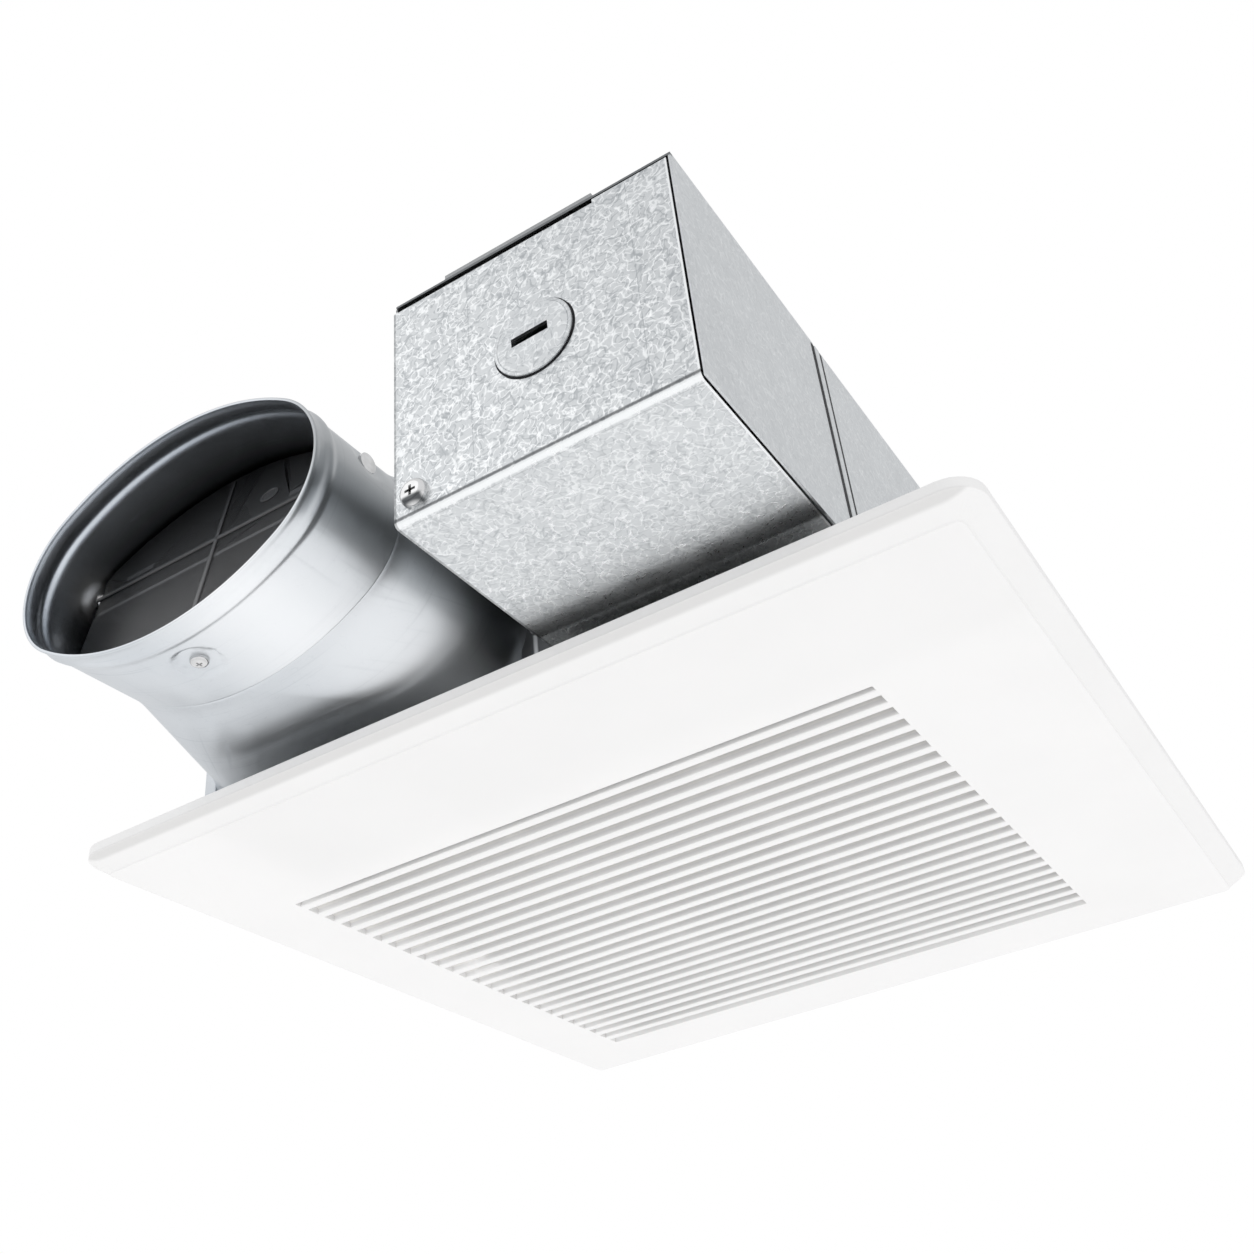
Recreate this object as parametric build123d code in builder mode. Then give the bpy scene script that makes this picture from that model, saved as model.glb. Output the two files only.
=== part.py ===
from build123d import *
import math
import os

# Low-profile ceiling exhaust fan: steel housing, oval duct collar with a backdraft
# damper, wiring compartment, blower and louvred grille. The origin is the middle of
# the grille on the ceiling plane, +Z is up, and the duct leaves towards -Y.
# Lengths are millimetres and angles are degrees.

# Clearances
body_gap = 0.3
running_gap = 0.05
slip_gap = 0.1
overrun = 6.0

# Housing, folded from galvanised sheet
sheet = 0.8
housing_width = 250.0
housing_near = -145.0
housing_top = 84.5
housing_bottom = 1.5
housing_bend = 2.4
hem_width = 8.0
joist_hole_radius = 2.6
joist_hole_spacing = 160.0
joist_hole_height = 10.0

# Grille, moulded in one piece with its spring posts
grille_side = 330.0
grille_depth = 9.0
grille_corner_radius = 10.5
grille_edge_height = 3.6
face_inset = 7.5
face_step = 0.6
grille_wall = 2.5
slot_pitch = 9.1
slot_width = 5.1
first_slot_narrowing = 2.0
field_margin_left = 29.5
field_margin_right = 53.1
field_margin_near = 59.9
field_margin_far = 31.6
blade_thickness = 2.0
blade_top_drop = 1.0
cross_rib_spacing = 77.5
cross_rib_thickness = 2.2
cross_rib_height = 3.0

# Spring posts, springs and the slotted brackets that the springs hang in
post_setback = 7.7
post_width = 14.0
post_cheek = 2.4
post_top = 12.0
post_pin_radius = 3.0
post_pin_height = 5.0
spring_wire = 1.8
spring_coil_length = 6.0
spring_leg_height = 66.0
spring_leg_spread = 26.0
spring_hook_length = 6.0
bracket_height = 14.5
bracket_reach = 16.0
bracket_width = 36.0
bracket_flange_height = 16.0
bracket_sheet = 1.2

# Blower casing: a scroll that grows by the same step in each quarter turn
wheel_x = 15.0
wheel_y = 8.0
scroll_margin = 17.2
scroll_far_margin = 10.2
scroll_growth = 14.0
scroll_sheet = 1.0
scroll_bottom = 19.0
outlet_right = 7.0
outlet_splay = 5.0
plate_sheet = 1.0
inlet_gap = 3.5
bell_bend = 6.0
bell_rise = 5.5
bell_slope_share = 0.3
tab_width = 12.0
tab_reach = 3.2
tab_sheet = 1.2
tab_angles = (38, 140, -38)

# Blower wheel
cutoff_gap = 6.0
blade_depth = 8.5
blade_count = 36
blade_sheet = 1.2
blade_bow = 2.4
blade_bend_share = 0.3
blade_lead_angle = 7.0
wheel_bottom = 22.0
wheel_top = 72.0
wheel_disc = 2.0
cup_radius = 34.0
cup_wall = 1.8
cup_bottom = 44.0
nut_radius = 4.5
nut_height = 3.0

# External-rotor motor
shaft_radius = 2.5
shaft_bottom = 38.0
rotor_radius = 32.0
rotor_sheet = 1.5
magnet_thickness = 3.0
magnet_height = 20.0
air_gap = 0.5
stator_teeth = 9
stator_stack = 16.0
tooth_width = 5.0
tooth_tip_width = 14.0
tooth_tip = 2.0
yoke_radius = 14.0
coil_thickness = 3.0
bearing_tube_radius = 9.0
bearing_radius = 6.5
bearing_height = 4.0
motor_base_radius = 33.0
motor_base_sheet = 2.5
motor_ear_radius = 7.0
motor_ear_reach = 42.0
grommet_radius = 5.0
grommet_height = 3.6
ear_angles = (90, 210, 330)

# Duct adapter and oval collar
duct_shift = 0.9
duct_z = 45.3
collar_half_width = 60.0
collar_half_height = 39.2
collar_side_radius = 30.0
side_facets = 4
crown_facets = 2
collar_sheet = 1.0
collar_back = -197.0
collar_front = -235.0
lip_rise = 1.1
lip_length = 1.8
bead_rise = 0.8
bead_length = 3.0
bead_setback = 6.5
adapter_margin = 3.0
adapter_right = 13.0
adapter_bottom = 5.4
adapter_top = 84.1
adapter_corner = 24.0
spigot_length = 4.5
flange_width = 9.5
flange_sheet = 1.0
flange_end_margin = 9.0
dish_radius = 6.6
dish_depth = 1.2

# Backdraft damper
pivot_y = -209.5
pivot_rise = 11.7
flap_lean = 12.0
flap_sheet = 1.0
flap_margin = 1.5
flap_rib_width = 1.6
flap_rib_rise = 0.6
rod_radius = 2.0
rod_head_radius = 3.4
rod_head_height = 1.2
saddle_wall = 1.2
saddle_length = 12.0
saddle_spacing = 70.0
stop_nut_radius = 3.0
stop_nut_height = 2.6
stop_nut_turn = 30.0

# Wiring compartment
box_left = 31.4
box_front = -233.0
box_bottom = 3.1
box_flange = 10.0
box_lip_start = 75.0
box_lip_end = 25.0
box_lip_rise = 1.4
box_lip_depth = 6.0
cover_gap = 0.6
cover_bend = 1.8
knockout_setback = 46.6
knockout_z = 43.5
knockout_radius = 12.3
knockout_slit = 0.6
knockout_tie = 3.0
knockout_tie_tilt = 35.0
pry_slot_length = 12.4
pry_slot_width = 2.6
pry_slot_tilt = 8.0
pry_slot_rise = 2.0
cover_tab_radius = 5.0
cover_screw_x = 38.4
cover_screw_z = 11.0
connector_setback = 33.0
connector_z = 52.0
connector_width = 26.0
connector_height = 16.0
connector_depth = 22.0
connector_rim = 2.0

# Driver board inside the housing, behind the connector
driver_width = 75.0
driver_setback = 6.0
driver_depth = 34.0
driver_bottom = 26.0
driver_top = 76.0
driver_wall = 1.6
driver_round = 3.0
board_sheet = 1.6
board_margin = 3.0
capacitor_radius = 6.0
capacitor_height = 14.0
relay_side = 12.0
relay_height = 9.0

# Screws
shank_sides = 8
small_head_radius = 3.4
small_head_height = 1.9
small_shank_radius = 1.7
small_shank_length = 5.0
cover_head_radius = 4.3
cover_head_height = 2.3
cover_shank_radius = 2.1
cover_shank_length = 8.0
head_round_share = 0.55
recess_width_share = 0.24
recess_length_share = 1.15
recess_depth_share = 0.6

# Places that follow from the sizes above
half_width = housing_width / 2
inner_half = half_width - sheet
inner_top = housing_top - sheet
inner_near = housing_near + sheet
scroll_start_radius = inner_half - wheel_x - scroll_growth - scroll_margin
scroll_far = wheel_y + scroll_start_radius + 2 * scroll_growth + scroll_sheet
inner_far = scroll_far + scroll_far_margin - scroll_sheet
housing_far = inner_far + sheet
wheel_radius = scroll_start_radius - cutoff_gap
blade_root_radius = wheel_radius - blade_depth
throat_radius = blade_root_radius - inlet_gap
post_offset = inner_half - post_setback
housing_middle = (housing_near + housing_far) / 2
housing_length = housing_far - housing_near
face_back = -grille_depth + grille_wall
face_side = grille_side - 2 * face_inset
field_left = field_margin_left - face_side / 2
field_right = face_side / 2 - field_margin_right
field_near = field_margin_near - face_side / 2
field_far = face_side / 2 - field_margin_far
slot_count = 1 + round((field_far - field_near - slot_width) / slot_pitch)
field_width = field_right - field_left
bar_width = slot_pitch - slot_width
adapter_left = adapter_margin - half_width
duct_x = (adapter_left + adapter_right) / 2 - duct_shift
box_lip_left = half_width - box_lip_start
box_lip_right = half_width - box_lip_end
knockout_x = half_width - knockout_setback
connector_x = half_width - connector_setback
driver_right = half_width - driver_setback
driver_left = driver_right - driver_width
oval_a = collar_half_width
oval_b = collar_half_height
bore_a = oval_a - collar_sheet
bore_b = oval_b - collar_sheet
side_offset = oval_a - collar_side_radius
crown_offset = (side_offset**2 - (oval_b - collar_side_radius) ** 2) / (
    2 * (oval_b - collar_side_radius)
)
crown_radius = oval_b + crown_offset
join_angle = math.degrees(math.atan2(crown_offset, side_offset))
mouth_x = (adapter_left + adapter_right) / 2
mouth_z = (adapter_bottom + adapter_top) / 2
mouth_half_width = (adapter_right - adapter_left) / 2
mouth_half_height = (adapter_top - adapter_bottom) / 2
pivot_z = duct_z + pivot_rise
box_middle = (box_left + half_width) / 2
box_width = half_width - box_left
flange_low = adapter_bottom + flange_end_margin
flange_high = adapter_top - flange_end_margin
flange_middle = (flange_low + flange_high) / 2
flange_right = adapter_right + flange_width
adapter_screw_x = adapter_right + flange_width / 2
adapter_screw_z = (flange_low + flange_width, flange_high - flange_width)
ground_place = (box_middle, box_bottom + 2 * box_flange)


def wall_plane(y):
    """Upright plane at a depth y, its sketch read as X and Z and its normal to -Y."""
    return Plane.XZ.offset(-y)


def pan_screw(head_radius, head_height, shank_radius, shank_length):
    """Cross-recessed pan-head screw: the head sits on the XY plane, shank downwards."""
    recess_width = head_radius * recess_width_share
    recess_length = head_radius * recess_length_share
    with BuildPart() as screw:
        with BuildSketch():
            Circle(head_radius)
        extrude(amount=head_height)
        chamfer(screw.faces().sort_by(Axis.Z)[-1].edges(), head_height * head_round_share)
        with BuildSketch(Plane.XY.offset(head_height)):
            Rectangle(recess_length, recess_width)
            Rectangle(recess_width, recess_length)
        extrude(amount=-head_height * recess_depth_share, mode=Mode.SUBTRACT)
        with BuildSketch():
            RegularPolygon(shank_radius, shank_sides)
        extrude(amount=-shank_length)
    return screw.part


def hex_screw(head_radius, head_height, shank_radius, shank_length):
    """Hexagon-head screw: the head sits on the XY plane, shank downwards."""
    with BuildPart() as screw:
        with BuildSketch():
            RegularPolygon(head_radius, 6)
        extrude(amount=head_height)
        with BuildSketch():
            RegularPolygon(shank_radius, shank_sides)
        extrude(amount=-shank_length)
    return screw.part


def save(piece, name):
    """Label a finished piece and write it under its own name."""
    piece.part.label = name
    export_step(piece.part, f"parts/{name}.step")


small_screw = pan_screw(
    small_head_radius, small_head_height, small_shank_radius, small_shank_length
)
big_screw = pan_screw(
    cover_head_radius, cover_head_height, cover_shank_radius, cover_shank_length
)
os.makedirs("parts", exist_ok=True)


# Blower scroll: its centre line in plan, from the outlet's right side round the wheel
# and back out. Each quarter's centre lies on a small square round the wheel's axis.
square = scroll_growth / 2
first_radius = scroll_start_radius + square
nose_radius = wheel_x + square - outlet_right
scroll_end = inner_near + body_gap
scroll_top = inner_top - body_gap / 3


def scroll_line(inset):
    """Draw the scroll's wall line, moved out by inset, in the current line builder."""
    start_x = wheel_x + square
    start_y = wheel_y + square - first_radius - inset
    right_x = outlet_right + inset
    left_centre = (wheel_x - square, wheel_y - square)
    left_radius = first_radius + 2 * scroll_growth + inset
    side = Line((right_x, scroll_end), (right_x, start_y - nose_radius + inset))
    nose = JernArc(side @ 1, (0, 1), nose_radius - inset, -90)
    quarter = CenterArc((start_x, wheel_y + square), first_radius + inset, -90, 90)
    top = CenterArc(
        (wheel_x - square, wheel_y + square), first_radius + scroll_growth + inset, 0, 90
    )
    left = CenterArc(left_centre, left_radius, 90, 90 - outlet_splay)
    run = (left @ 1).Y - scroll_end
    end_x = (left @ 1).X - run * math.tan(math.radians(outlet_splay))
    Line(left @ 1, (end_x, scroll_end))
    return (side @ 0, (end_x, scroll_end))


with BuildPart() as scroll_wall:
    with BuildSketch(Plane.XY.offset(scroll_bottom)):
        with BuildLine():
            outer_ends = scroll_line(scroll_sheet)
            Line(outer_ends[0], outer_ends[1])
        make_face()
        with BuildLine():
            inner_ends = scroll_line(0)
            Line(inner_ends[0], inner_ends[1])
        make_face(mode=Mode.SUBTRACT)
    extrude(amount=scroll_top - scroll_bottom)
    tab_places = []
    tab_seats = []
    for angle in tab_angles:
        grow = scroll_growth * (angle + 90) / 90
        reach = scroll_start_radius + grow + scroll_sheet + tab_reach
        turn = math.radians(angle)
        tab_x = wheel_x + reach * math.cos(turn)
        tab_y = wheel_y + reach * math.sin(turn)
        tab_places.append((tab_x, tab_y))
        tab_seats.append(Location((tab_x, tab_y, 0), (0, 0, angle)))
    for level in (scroll_bottom, scroll_top - tab_sheet):
        with BuildSketch(Plane.XY.offset(level)):
            with Locations(*tab_seats):
                Rectangle(tab_width, tab_width)
        extrude(amount=tab_sheet)
    with BuildSketch(Plane.XY.offset(scroll_bottom)):
        with BuildLine():
            inner_ends = scroll_line(0)
            Line(inner_ends[0], inner_ends[1])
        make_face()
    extrude(amount=scroll_top - scroll_bottom, mode=Mode.SUBTRACT)
    with BuildSketch(Plane.XY.offset(scroll_bottom - overrun)):
        with Locations(*tab_places):
            Circle(small_shank_radius + slip_gap)
    extrude(amount=housing_top, mode=Mode.SUBTRACT)
save(scroll_wall, "scroll_wall")

# Plate under the scroll, with the bell mouth that leads air into the wheel
plate_top = scroll_bottom
bell_foot = plate_top - plate_sheet
with BuildPart() as inlet_plate:
    with BuildSketch(Plane.XY.offset(plate_top - plate_sheet)):
        with BuildLine():
            plate_ends = scroll_line(scroll_sheet)
            Line(plate_ends[0], plate_ends[1])
        make_face()
        with Locations(*tab_seats):
            Rectangle(tab_width, tab_width)
        with Locations((wheel_x, wheel_y)):
            Circle(throat_radius + bell_bend, mode=Mode.SUBTRACT)
        with Locations(*tab_places):
            Circle(small_shank_radius + slip_gap, mode=Mode.SUBTRACT)
    extrude(amount=plate_sheet)
    wheel_section = Plane((wheel_x, wheel_y, 0), x_dir=(1, 0, 0), z_dir=(0, -1, 0))
    with BuildSketch(wheel_section):
        with BuildLine():
            slope = bell_slope_share * bell_bend
            Polyline(
                (throat_radius, plate_top + bell_rise),
                (throat_radius + slope, bell_foot + slope),
                (throat_radius + bell_bend, bell_foot),
                (throat_radius + bell_bend + plate_sheet, bell_foot),
            )
            offset(amount=plate_sheet, side=Side.LEFT, kind=Kind.INTERSECTION)
        make_face()
    revolve(axis=Axis((wheel_x, wheel_y, 0), (0, 0, 1)))
save(inlet_plate, "inlet_plate")

# Long screws tie the plate and the scroll to the housing's top
casing_screw = hex_screw(
    small_head_radius,
    small_head_height,
    small_shank_radius,
    housing_top - bell_foot + small_head_height,
)
with BuildPart() as casing_screws:
    with Locations(*[Location((x, y, bell_foot), (180, 0, 0)) for x, y in tab_places]):
        add(casing_screw)
save(casing_screws, "casing_screws")


# Housing: a five-sided box with its outlet, connector hole and screw holes
ear_places = []
for angle in ear_angles:
    turn = math.radians(angle)
    ear_places.append(
        (
            wheel_x + motor_ear_reach * math.cos(turn),
            wheel_y + motor_ear_reach * math.sin(turn),
        )
    )
outlet_left = inner_ends[1][0]
outlet_height = inner_top - scroll_bottom
with BuildPart() as housing:
    with BuildSketch(Plane.XY.offset(housing_bottom)) as housing_outline:
        with Locations((0, housing_middle)):
            Rectangle(housing_width, housing_length)
            fillet(housing_outline.vertices(), housing_bend)
    extrude(amount=housing_top - housing_bottom)
    chamfer(housing.faces().sort_by(Axis.Z)[-1].edges(), sheet / 2)
    with BuildSketch(Plane.XY.offset(inner_top)) as hollow_outline:
        with Locations((0, housing_middle)):
            Rectangle(housing_width - 2 * sheet, housing_length - 2 * sheet)
            fillet(hollow_outline.vertices(), housing_bend - sheet)
    extrude(amount=-housing_top, mode=Mode.SUBTRACT)
    with BuildSketch(Plane.XY.offset(housing_bottom)):
        with Locations((0, inner_near + hem_width / 2), (0, inner_far - hem_width / 2)):
            Rectangle(housing_width - 2 * housing_bend, hem_width)
    extrude(amount=sheet)
    with BuildSketch(wall_plane(housing_near + overrun)):
        with Locations(((outlet_left + outlet_right) / 2, scroll_bottom + outlet_height / 2)):
            Rectangle(outlet_right - outlet_left, outlet_height - 2 * sheet)
        with Locations((connector_x, connector_z)):
            Rectangle(connector_width + 2 * slip_gap, connector_height + 2 * slip_gap)
        with Locations(*[(adapter_screw_x, z) for z in adapter_screw_z], ground_place):
            Circle(small_shank_radius + slip_gap)
    extrude(amount=2 * overrun, mode=Mode.SUBTRACT)
    with BuildSketch(Plane.YZ.offset(-half_width - overrun)):
        with Locations((0, joist_hole_height)):
            with GridLocations(joist_hole_spacing, 0, 2, 1):
                Circle(joist_hole_radius)
    extrude(amount=housing_width + 2 * overrun, mode=Mode.SUBTRACT)
    with BuildSketch(Plane.XY.offset(inner_top - overrun)):
        with Locations(*tab_places, *ear_places):
            Circle(small_shank_radius + slip_gap)
    extrude(amount=2 * overrun, mode=Mode.SUBTRACT)
save(housing, "housing")


# Blower wheel: forward-curved blades between a back disc and a front ring
lead = math.radians(blade_lead_angle)
blade_tip = (wheel_radius * math.cos(lead), wheel_radius * math.sin(lead))
blade_run = blade_tip[0] - blade_root_radius
blade_bends = []
for share in (blade_bend_share, 1 - blade_bend_share):
    blade_bends.append(
        (blade_root_radius + share * blade_run, share * blade_tip[1] - blade_bow)
    )
with BuildSketch() as blade_outline:
    with BuildLine():
        Polyline((blade_root_radius, 0), *blade_bends, blade_tip)
        offset(amount=blade_sheet, side=Side.LEFT, kind=Kind.INTERSECTION)
    make_face()
with BuildPart() as impeller:
    with BuildSketch(Plane.XY.offset(wheel_bottom + wheel_disc)):
        with Locations((wheel_x, wheel_y)):
            with PolarLocations(0, blade_count):
                add(blade_outline.sketch)
    extrude(amount=wheel_top - wheel_bottom - 2 * wheel_disc)
    with BuildSketch(Plane.XY.offset(wheel_bottom)):
        with Locations((wheel_x, wheel_y)):
            Circle(wheel_radius)
            Circle(blade_root_radius, mode=Mode.SUBTRACT)
    extrude(amount=wheel_disc)
    with BuildSketch(Plane.XY.offset(wheel_top - wheel_disc)):
        with Locations((wheel_x, wheel_y)):
            Circle(wheel_radius)
            Circle(cup_radius - cup_wall, mode=Mode.SUBTRACT)
    extrude(amount=wheel_disc)
    with BuildSketch(Plane.XY.offset(cup_bottom)):
        with Locations((wheel_x, wheel_y)):
            Circle(cup_radius)
            Circle(shaft_radius, mode=Mode.SUBTRACT)
    extrude(amount=cup_wall)
    with BuildSketch(Plane.XY.offset(cup_bottom)):
        with Locations((wheel_x, wheel_y)):
            Circle(cup_radius)
            Circle(cup_radius - cup_wall, mode=Mode.SUBTRACT)
    extrude(amount=wheel_top - cup_bottom)
save(impeller, "impeller")

with BuildPart() as wheel_nut:
    with BuildSketch(Plane.XY.offset(cup_bottom - nut_height)):
        with Locations((wheel_x, wheel_y)):
            RegularPolygon(nut_radius, 6)
            Circle(shaft_radius, mode=Mode.SUBTRACT)
    extrude(amount=nut_height)
save(wheel_nut, "wheel_nut")

# Motor: the rotor cup and magnets turn round the stator on the bearing tube
base_top = inner_top - grommet_height
base_bottom = base_top - motor_base_sheet
ear_root = motor_ear_reach - motor_ear_radius
rotor_bottom = cup_bottom + cup_wall
rotor_floor = rotor_bottom + rotor_sheet
magnet_outer = rotor_radius - rotor_sheet
magnet_inner = magnet_outer - magnet_thickness
stator_radius = magnet_inner - air_gap
tube_bottom = rotor_floor + 2 * rotor_sheet
rotor_top = wheel_top - wheel_disc
magnet_bottom = rotor_floor
stack_bottom = tube_bottom + coil_thickness

with BuildPart() as motor_rotor:
    with BuildSketch(Plane.XY.offset(rotor_bottom)):
        with Locations((wheel_x, wheel_y)):
            Circle(rotor_radius)
            Circle(shaft_radius, mode=Mode.SUBTRACT)
    extrude(amount=rotor_top - rotor_bottom)
    with BuildSketch(Plane.XY.offset(rotor_floor)):
        with Locations((wheel_x, wheel_y)):
            Circle(magnet_outer)
    extrude(amount=rotor_top, mode=Mode.SUBTRACT)
save(motor_rotor, "motor_rotor")

with BuildPart() as rotor_magnet:
    with BuildSketch(Plane.XY.offset(magnet_bottom)):
        with Locations((wheel_x, wheel_y)):
            Circle(magnet_outer)
            Circle(magnet_inner, mode=Mode.SUBTRACT)
    extrude(amount=magnet_height)
save(rotor_magnet, "rotor_magnet")

with BuildPart() as motor_shaft:
    with BuildSketch(Plane.XY.offset(shaft_bottom)):
        with Locations((wheel_x, wheel_y)):
            Circle(shaft_radius)
    extrude(amount=base_top - shaft_bottom)
save(motor_shaft, "motor_shaft")

with BuildPart() as motor_base:
    with BuildSketch(Plane.XY.offset(base_bottom)):
        with Locations((wheel_x, wheel_y)):
            Circle(motor_base_radius)
            with PolarLocations(motor_ear_reach, len(ear_angles), ear_angles[0]):
                Circle(motor_ear_radius)
            with PolarLocations(ear_root, len(ear_angles), ear_angles[0]):
                Rectangle(2 * motor_ear_radius, 2 * motor_ear_radius)
            with PolarLocations(motor_ear_reach, len(ear_angles), ear_angles[0]):
                Circle(small_shank_radius + slip_gap, mode=Mode.SUBTRACT)
    extrude(amount=motor_base_sheet)
    with BuildSketch(Plane.XY.offset(tube_bottom)):
        with Locations((wheel_x, wheel_y)):
            Circle(bearing_tube_radius)
    extrude(amount=base_bottom - tube_bottom)
    with BuildSketch(Plane.XY.offset(tube_bottom)):
        with Locations((wheel_x, wheel_y)):
            Circle(bearing_radius)
    extrude(amount=base_top, mode=Mode.SUBTRACT)
save(motor_base, "motor_base")

with BuildPart() as motor_bearings:
    for level in (tube_bottom, base_top - bearing_height):
        with BuildSketch(Plane.XY.offset(level)):
            with Locations((wheel_x, wheel_y)):
                Circle(bearing_radius)
                Circle(shaft_radius + running_gap, mode=Mode.SUBTRACT)
        extrude(amount=bearing_height)
save(motor_bearings, "motor_bearings")

with BuildPart() as motor_stator:
    with BuildSketch(Plane.XY.offset(stack_bottom)):
        with Locations((wheel_x, wheel_y)):
            Circle(yoke_radius)
            with PolarLocations((bearing_tube_radius + stator_radius) / 2, stator_teeth):
                Rectangle(stator_radius - bearing_tube_radius, tooth_width)
            with PolarLocations(stator_radius - tooth_tip, stator_teeth):
                Rectangle(2 * tooth_tip, tooth_tip_width)
            Circle(bearing_tube_radius, mode=Mode.SUBTRACT)
            Circle(stator_radius, mode=Mode.INTERSECT)
    extrude(amount=stator_stack)
save(motor_stator, "motor_stator")

coil_run = stator_radius - 2 * tooth_tip - yoke_radius - coil_thickness
with BuildPart() as motor_windings:
    with BuildSketch(Plane.XY.offset(stack_bottom - coil_thickness)):
        with Locations((wheel_x, wheel_y)):
            with PolarLocations(yoke_radius + coil_thickness / 2 + coil_run / 2, stator_teeth):
                Rectangle(coil_run, tooth_width + coil_thickness)
    extrude(amount=stator_stack + 2 * coil_thickness)
    add(motor_stator.part, mode=Mode.SUBTRACT)
save(motor_windings, "motor_windings")

with BuildPart() as motor_grommets:
    with BuildSketch(Plane.XY.offset(base_top)):
        with Locations(*ear_places):
            RegularPolygon(grommet_radius, shank_sides)
            Circle(small_shank_radius + slip_gap, mode=Mode.SUBTRACT)
    extrude(amount=grommet_height)
save(motor_grommets, "motor_grommets")

motor_screw = hex_screw(
    small_head_radius,
    small_head_height,
    small_shank_radius,
    sheet + grommet_height + motor_base_sheet + sheet,
)
with BuildPart() as motor_screws:
    with Locations(*[Location((x, y, housing_top)) for x, y in ear_places]):
        add(motor_screw)
save(motor_screws, "motor_screws")


# Duct adapter: from a rounded rectangle on the wall to an oval at the collar
def oval_outline(grow):
    """Draw the duct's oval, moved out by grow, in arcs round four centres."""
    side_radius = collar_side_radius + grow
    crown = 180 - 2 * join_angle
    CenterArc((duct_x + side_offset, duct_z), side_radius, -join_angle, 2 * join_angle)
    CenterArc((duct_x, duct_z - crown_offset), crown_radius + grow, join_angle, crown)
    CenterArc((duct_x - side_offset, duct_z), side_radius, 180 - join_angle, 2 * join_angle)
    CenterArc((duct_x, duct_z + crown_offset), crown_radius + grow, 180 + join_angle, crown)


def facet_corners(centre, crown_centre, side_radius, top_radius):
    """Corners of an outline whose sides have the same directions for any size.

    The outline has a corner arc in each quarter, in two parts that meet at the oval's
    join angle. Each part is cut into equal chords, and a chord spans each axis.
    """
    quarter = []
    for step in range(1, 2 * side_facets + 2, 2):
        turn = math.radians(join_angle * step / (2 * side_facets + 1))
        quarter.append(
            (centre[0] + side_radius * math.cos(turn), centre[1] + side_radius * math.sin(turn))
        )
    for step in range(1, crown_facets + 1):
        share = 2 * step / (2 * crown_facets + 1)
        turn = math.radians(join_angle + (90 - join_angle) * share)
        quarter.append(
            (
                crown_centre[0] + top_radius * math.cos(turn),
                crown_centre[1] + top_radius * math.sin(turn),
            )
        )
    half = quarter + [(-x, z) for x, z in reversed(quarter)]
    return half + [(x, -z) for x, z in reversed(half)]


def adapter_form(inset):
    """Solid of flat facets that fills the adapter out to its wall, moved in by inset."""
    radius = adapter_corner - inset
    corner = (mouth_half_width - adapter_corner, mouth_half_height - adapter_corner)
    mouth = facet_corners(corner, corner, radius, radius)
    oval = facet_corners(
        (side_offset, 0), (0, -crown_offset), collar_side_radius - inset, crown_radius - inset
    )
    rim = [Vector(mouth_x + x, housing_near, mouth_z + z) for x, z in mouth]
    tip = [Vector(duct_x + x, collar_back, duct_z + z) for x, z in oval]
    sides = []
    for i in range(len(rim)):
        sides.append(Face(Wire.make_polygon([rim[i - 1], rim[i], tip[i], tip[i - 1]])))
    ends = [Face(Wire.make_polygon(rim)), Face(Wire.make_polygon(tip))]
    return Solid(Shell(sides + ends))


spigot_inset = collar_sheet + slip_gap
adapter_void = adapter_form(collar_sheet)
with BuildPart() as adapter_body:
    with BuildSketch(wall_plane(housing_near)):
        with Locations(((flange_right - half_width) / 2, flange_middle)):
            Rectangle(flange_right + half_width, flange_high - flange_low)
    extrude(amount=flange_sheet)
    add(adapter_form(0))
    add(adapter_void, mode=Mode.SUBTRACT)
    for inset, depth in ((collar_sheet / 2, collar_sheet), (spigot_inset, spigot_length)):
        with BuildSketch(wall_plane(collar_back + collar_sheet)):
            with BuildLine():
                oval_outline(-inset)
            make_face()
            with BuildLine():
                oval_outline(-spigot_inset - collar_sheet)
            make_face(mode=Mode.SUBTRACT)
        extrude(amount=depth)
    with BuildSketch(wall_plane(housing_near)):
        with Locations(*[(adapter_screw_x, z) for z in adapter_screw_z]):
            Circle(small_shank_radius + slip_gap)
    extrude(amount=2 * overrun, mode=Mode.SUBTRACT)
save(adapter_body, "adapter_body")

with BuildPart() as adapter_screws:
    screw_seat = housing_near - flange_sheet
    with Locations(
        *[Location((adapter_screw_x, screw_seat, z), (90, 0, 0)) for z in adapter_screw_z]
    ):
        add(small_screw)
save(adapter_screws, "adapter_screws")

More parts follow.
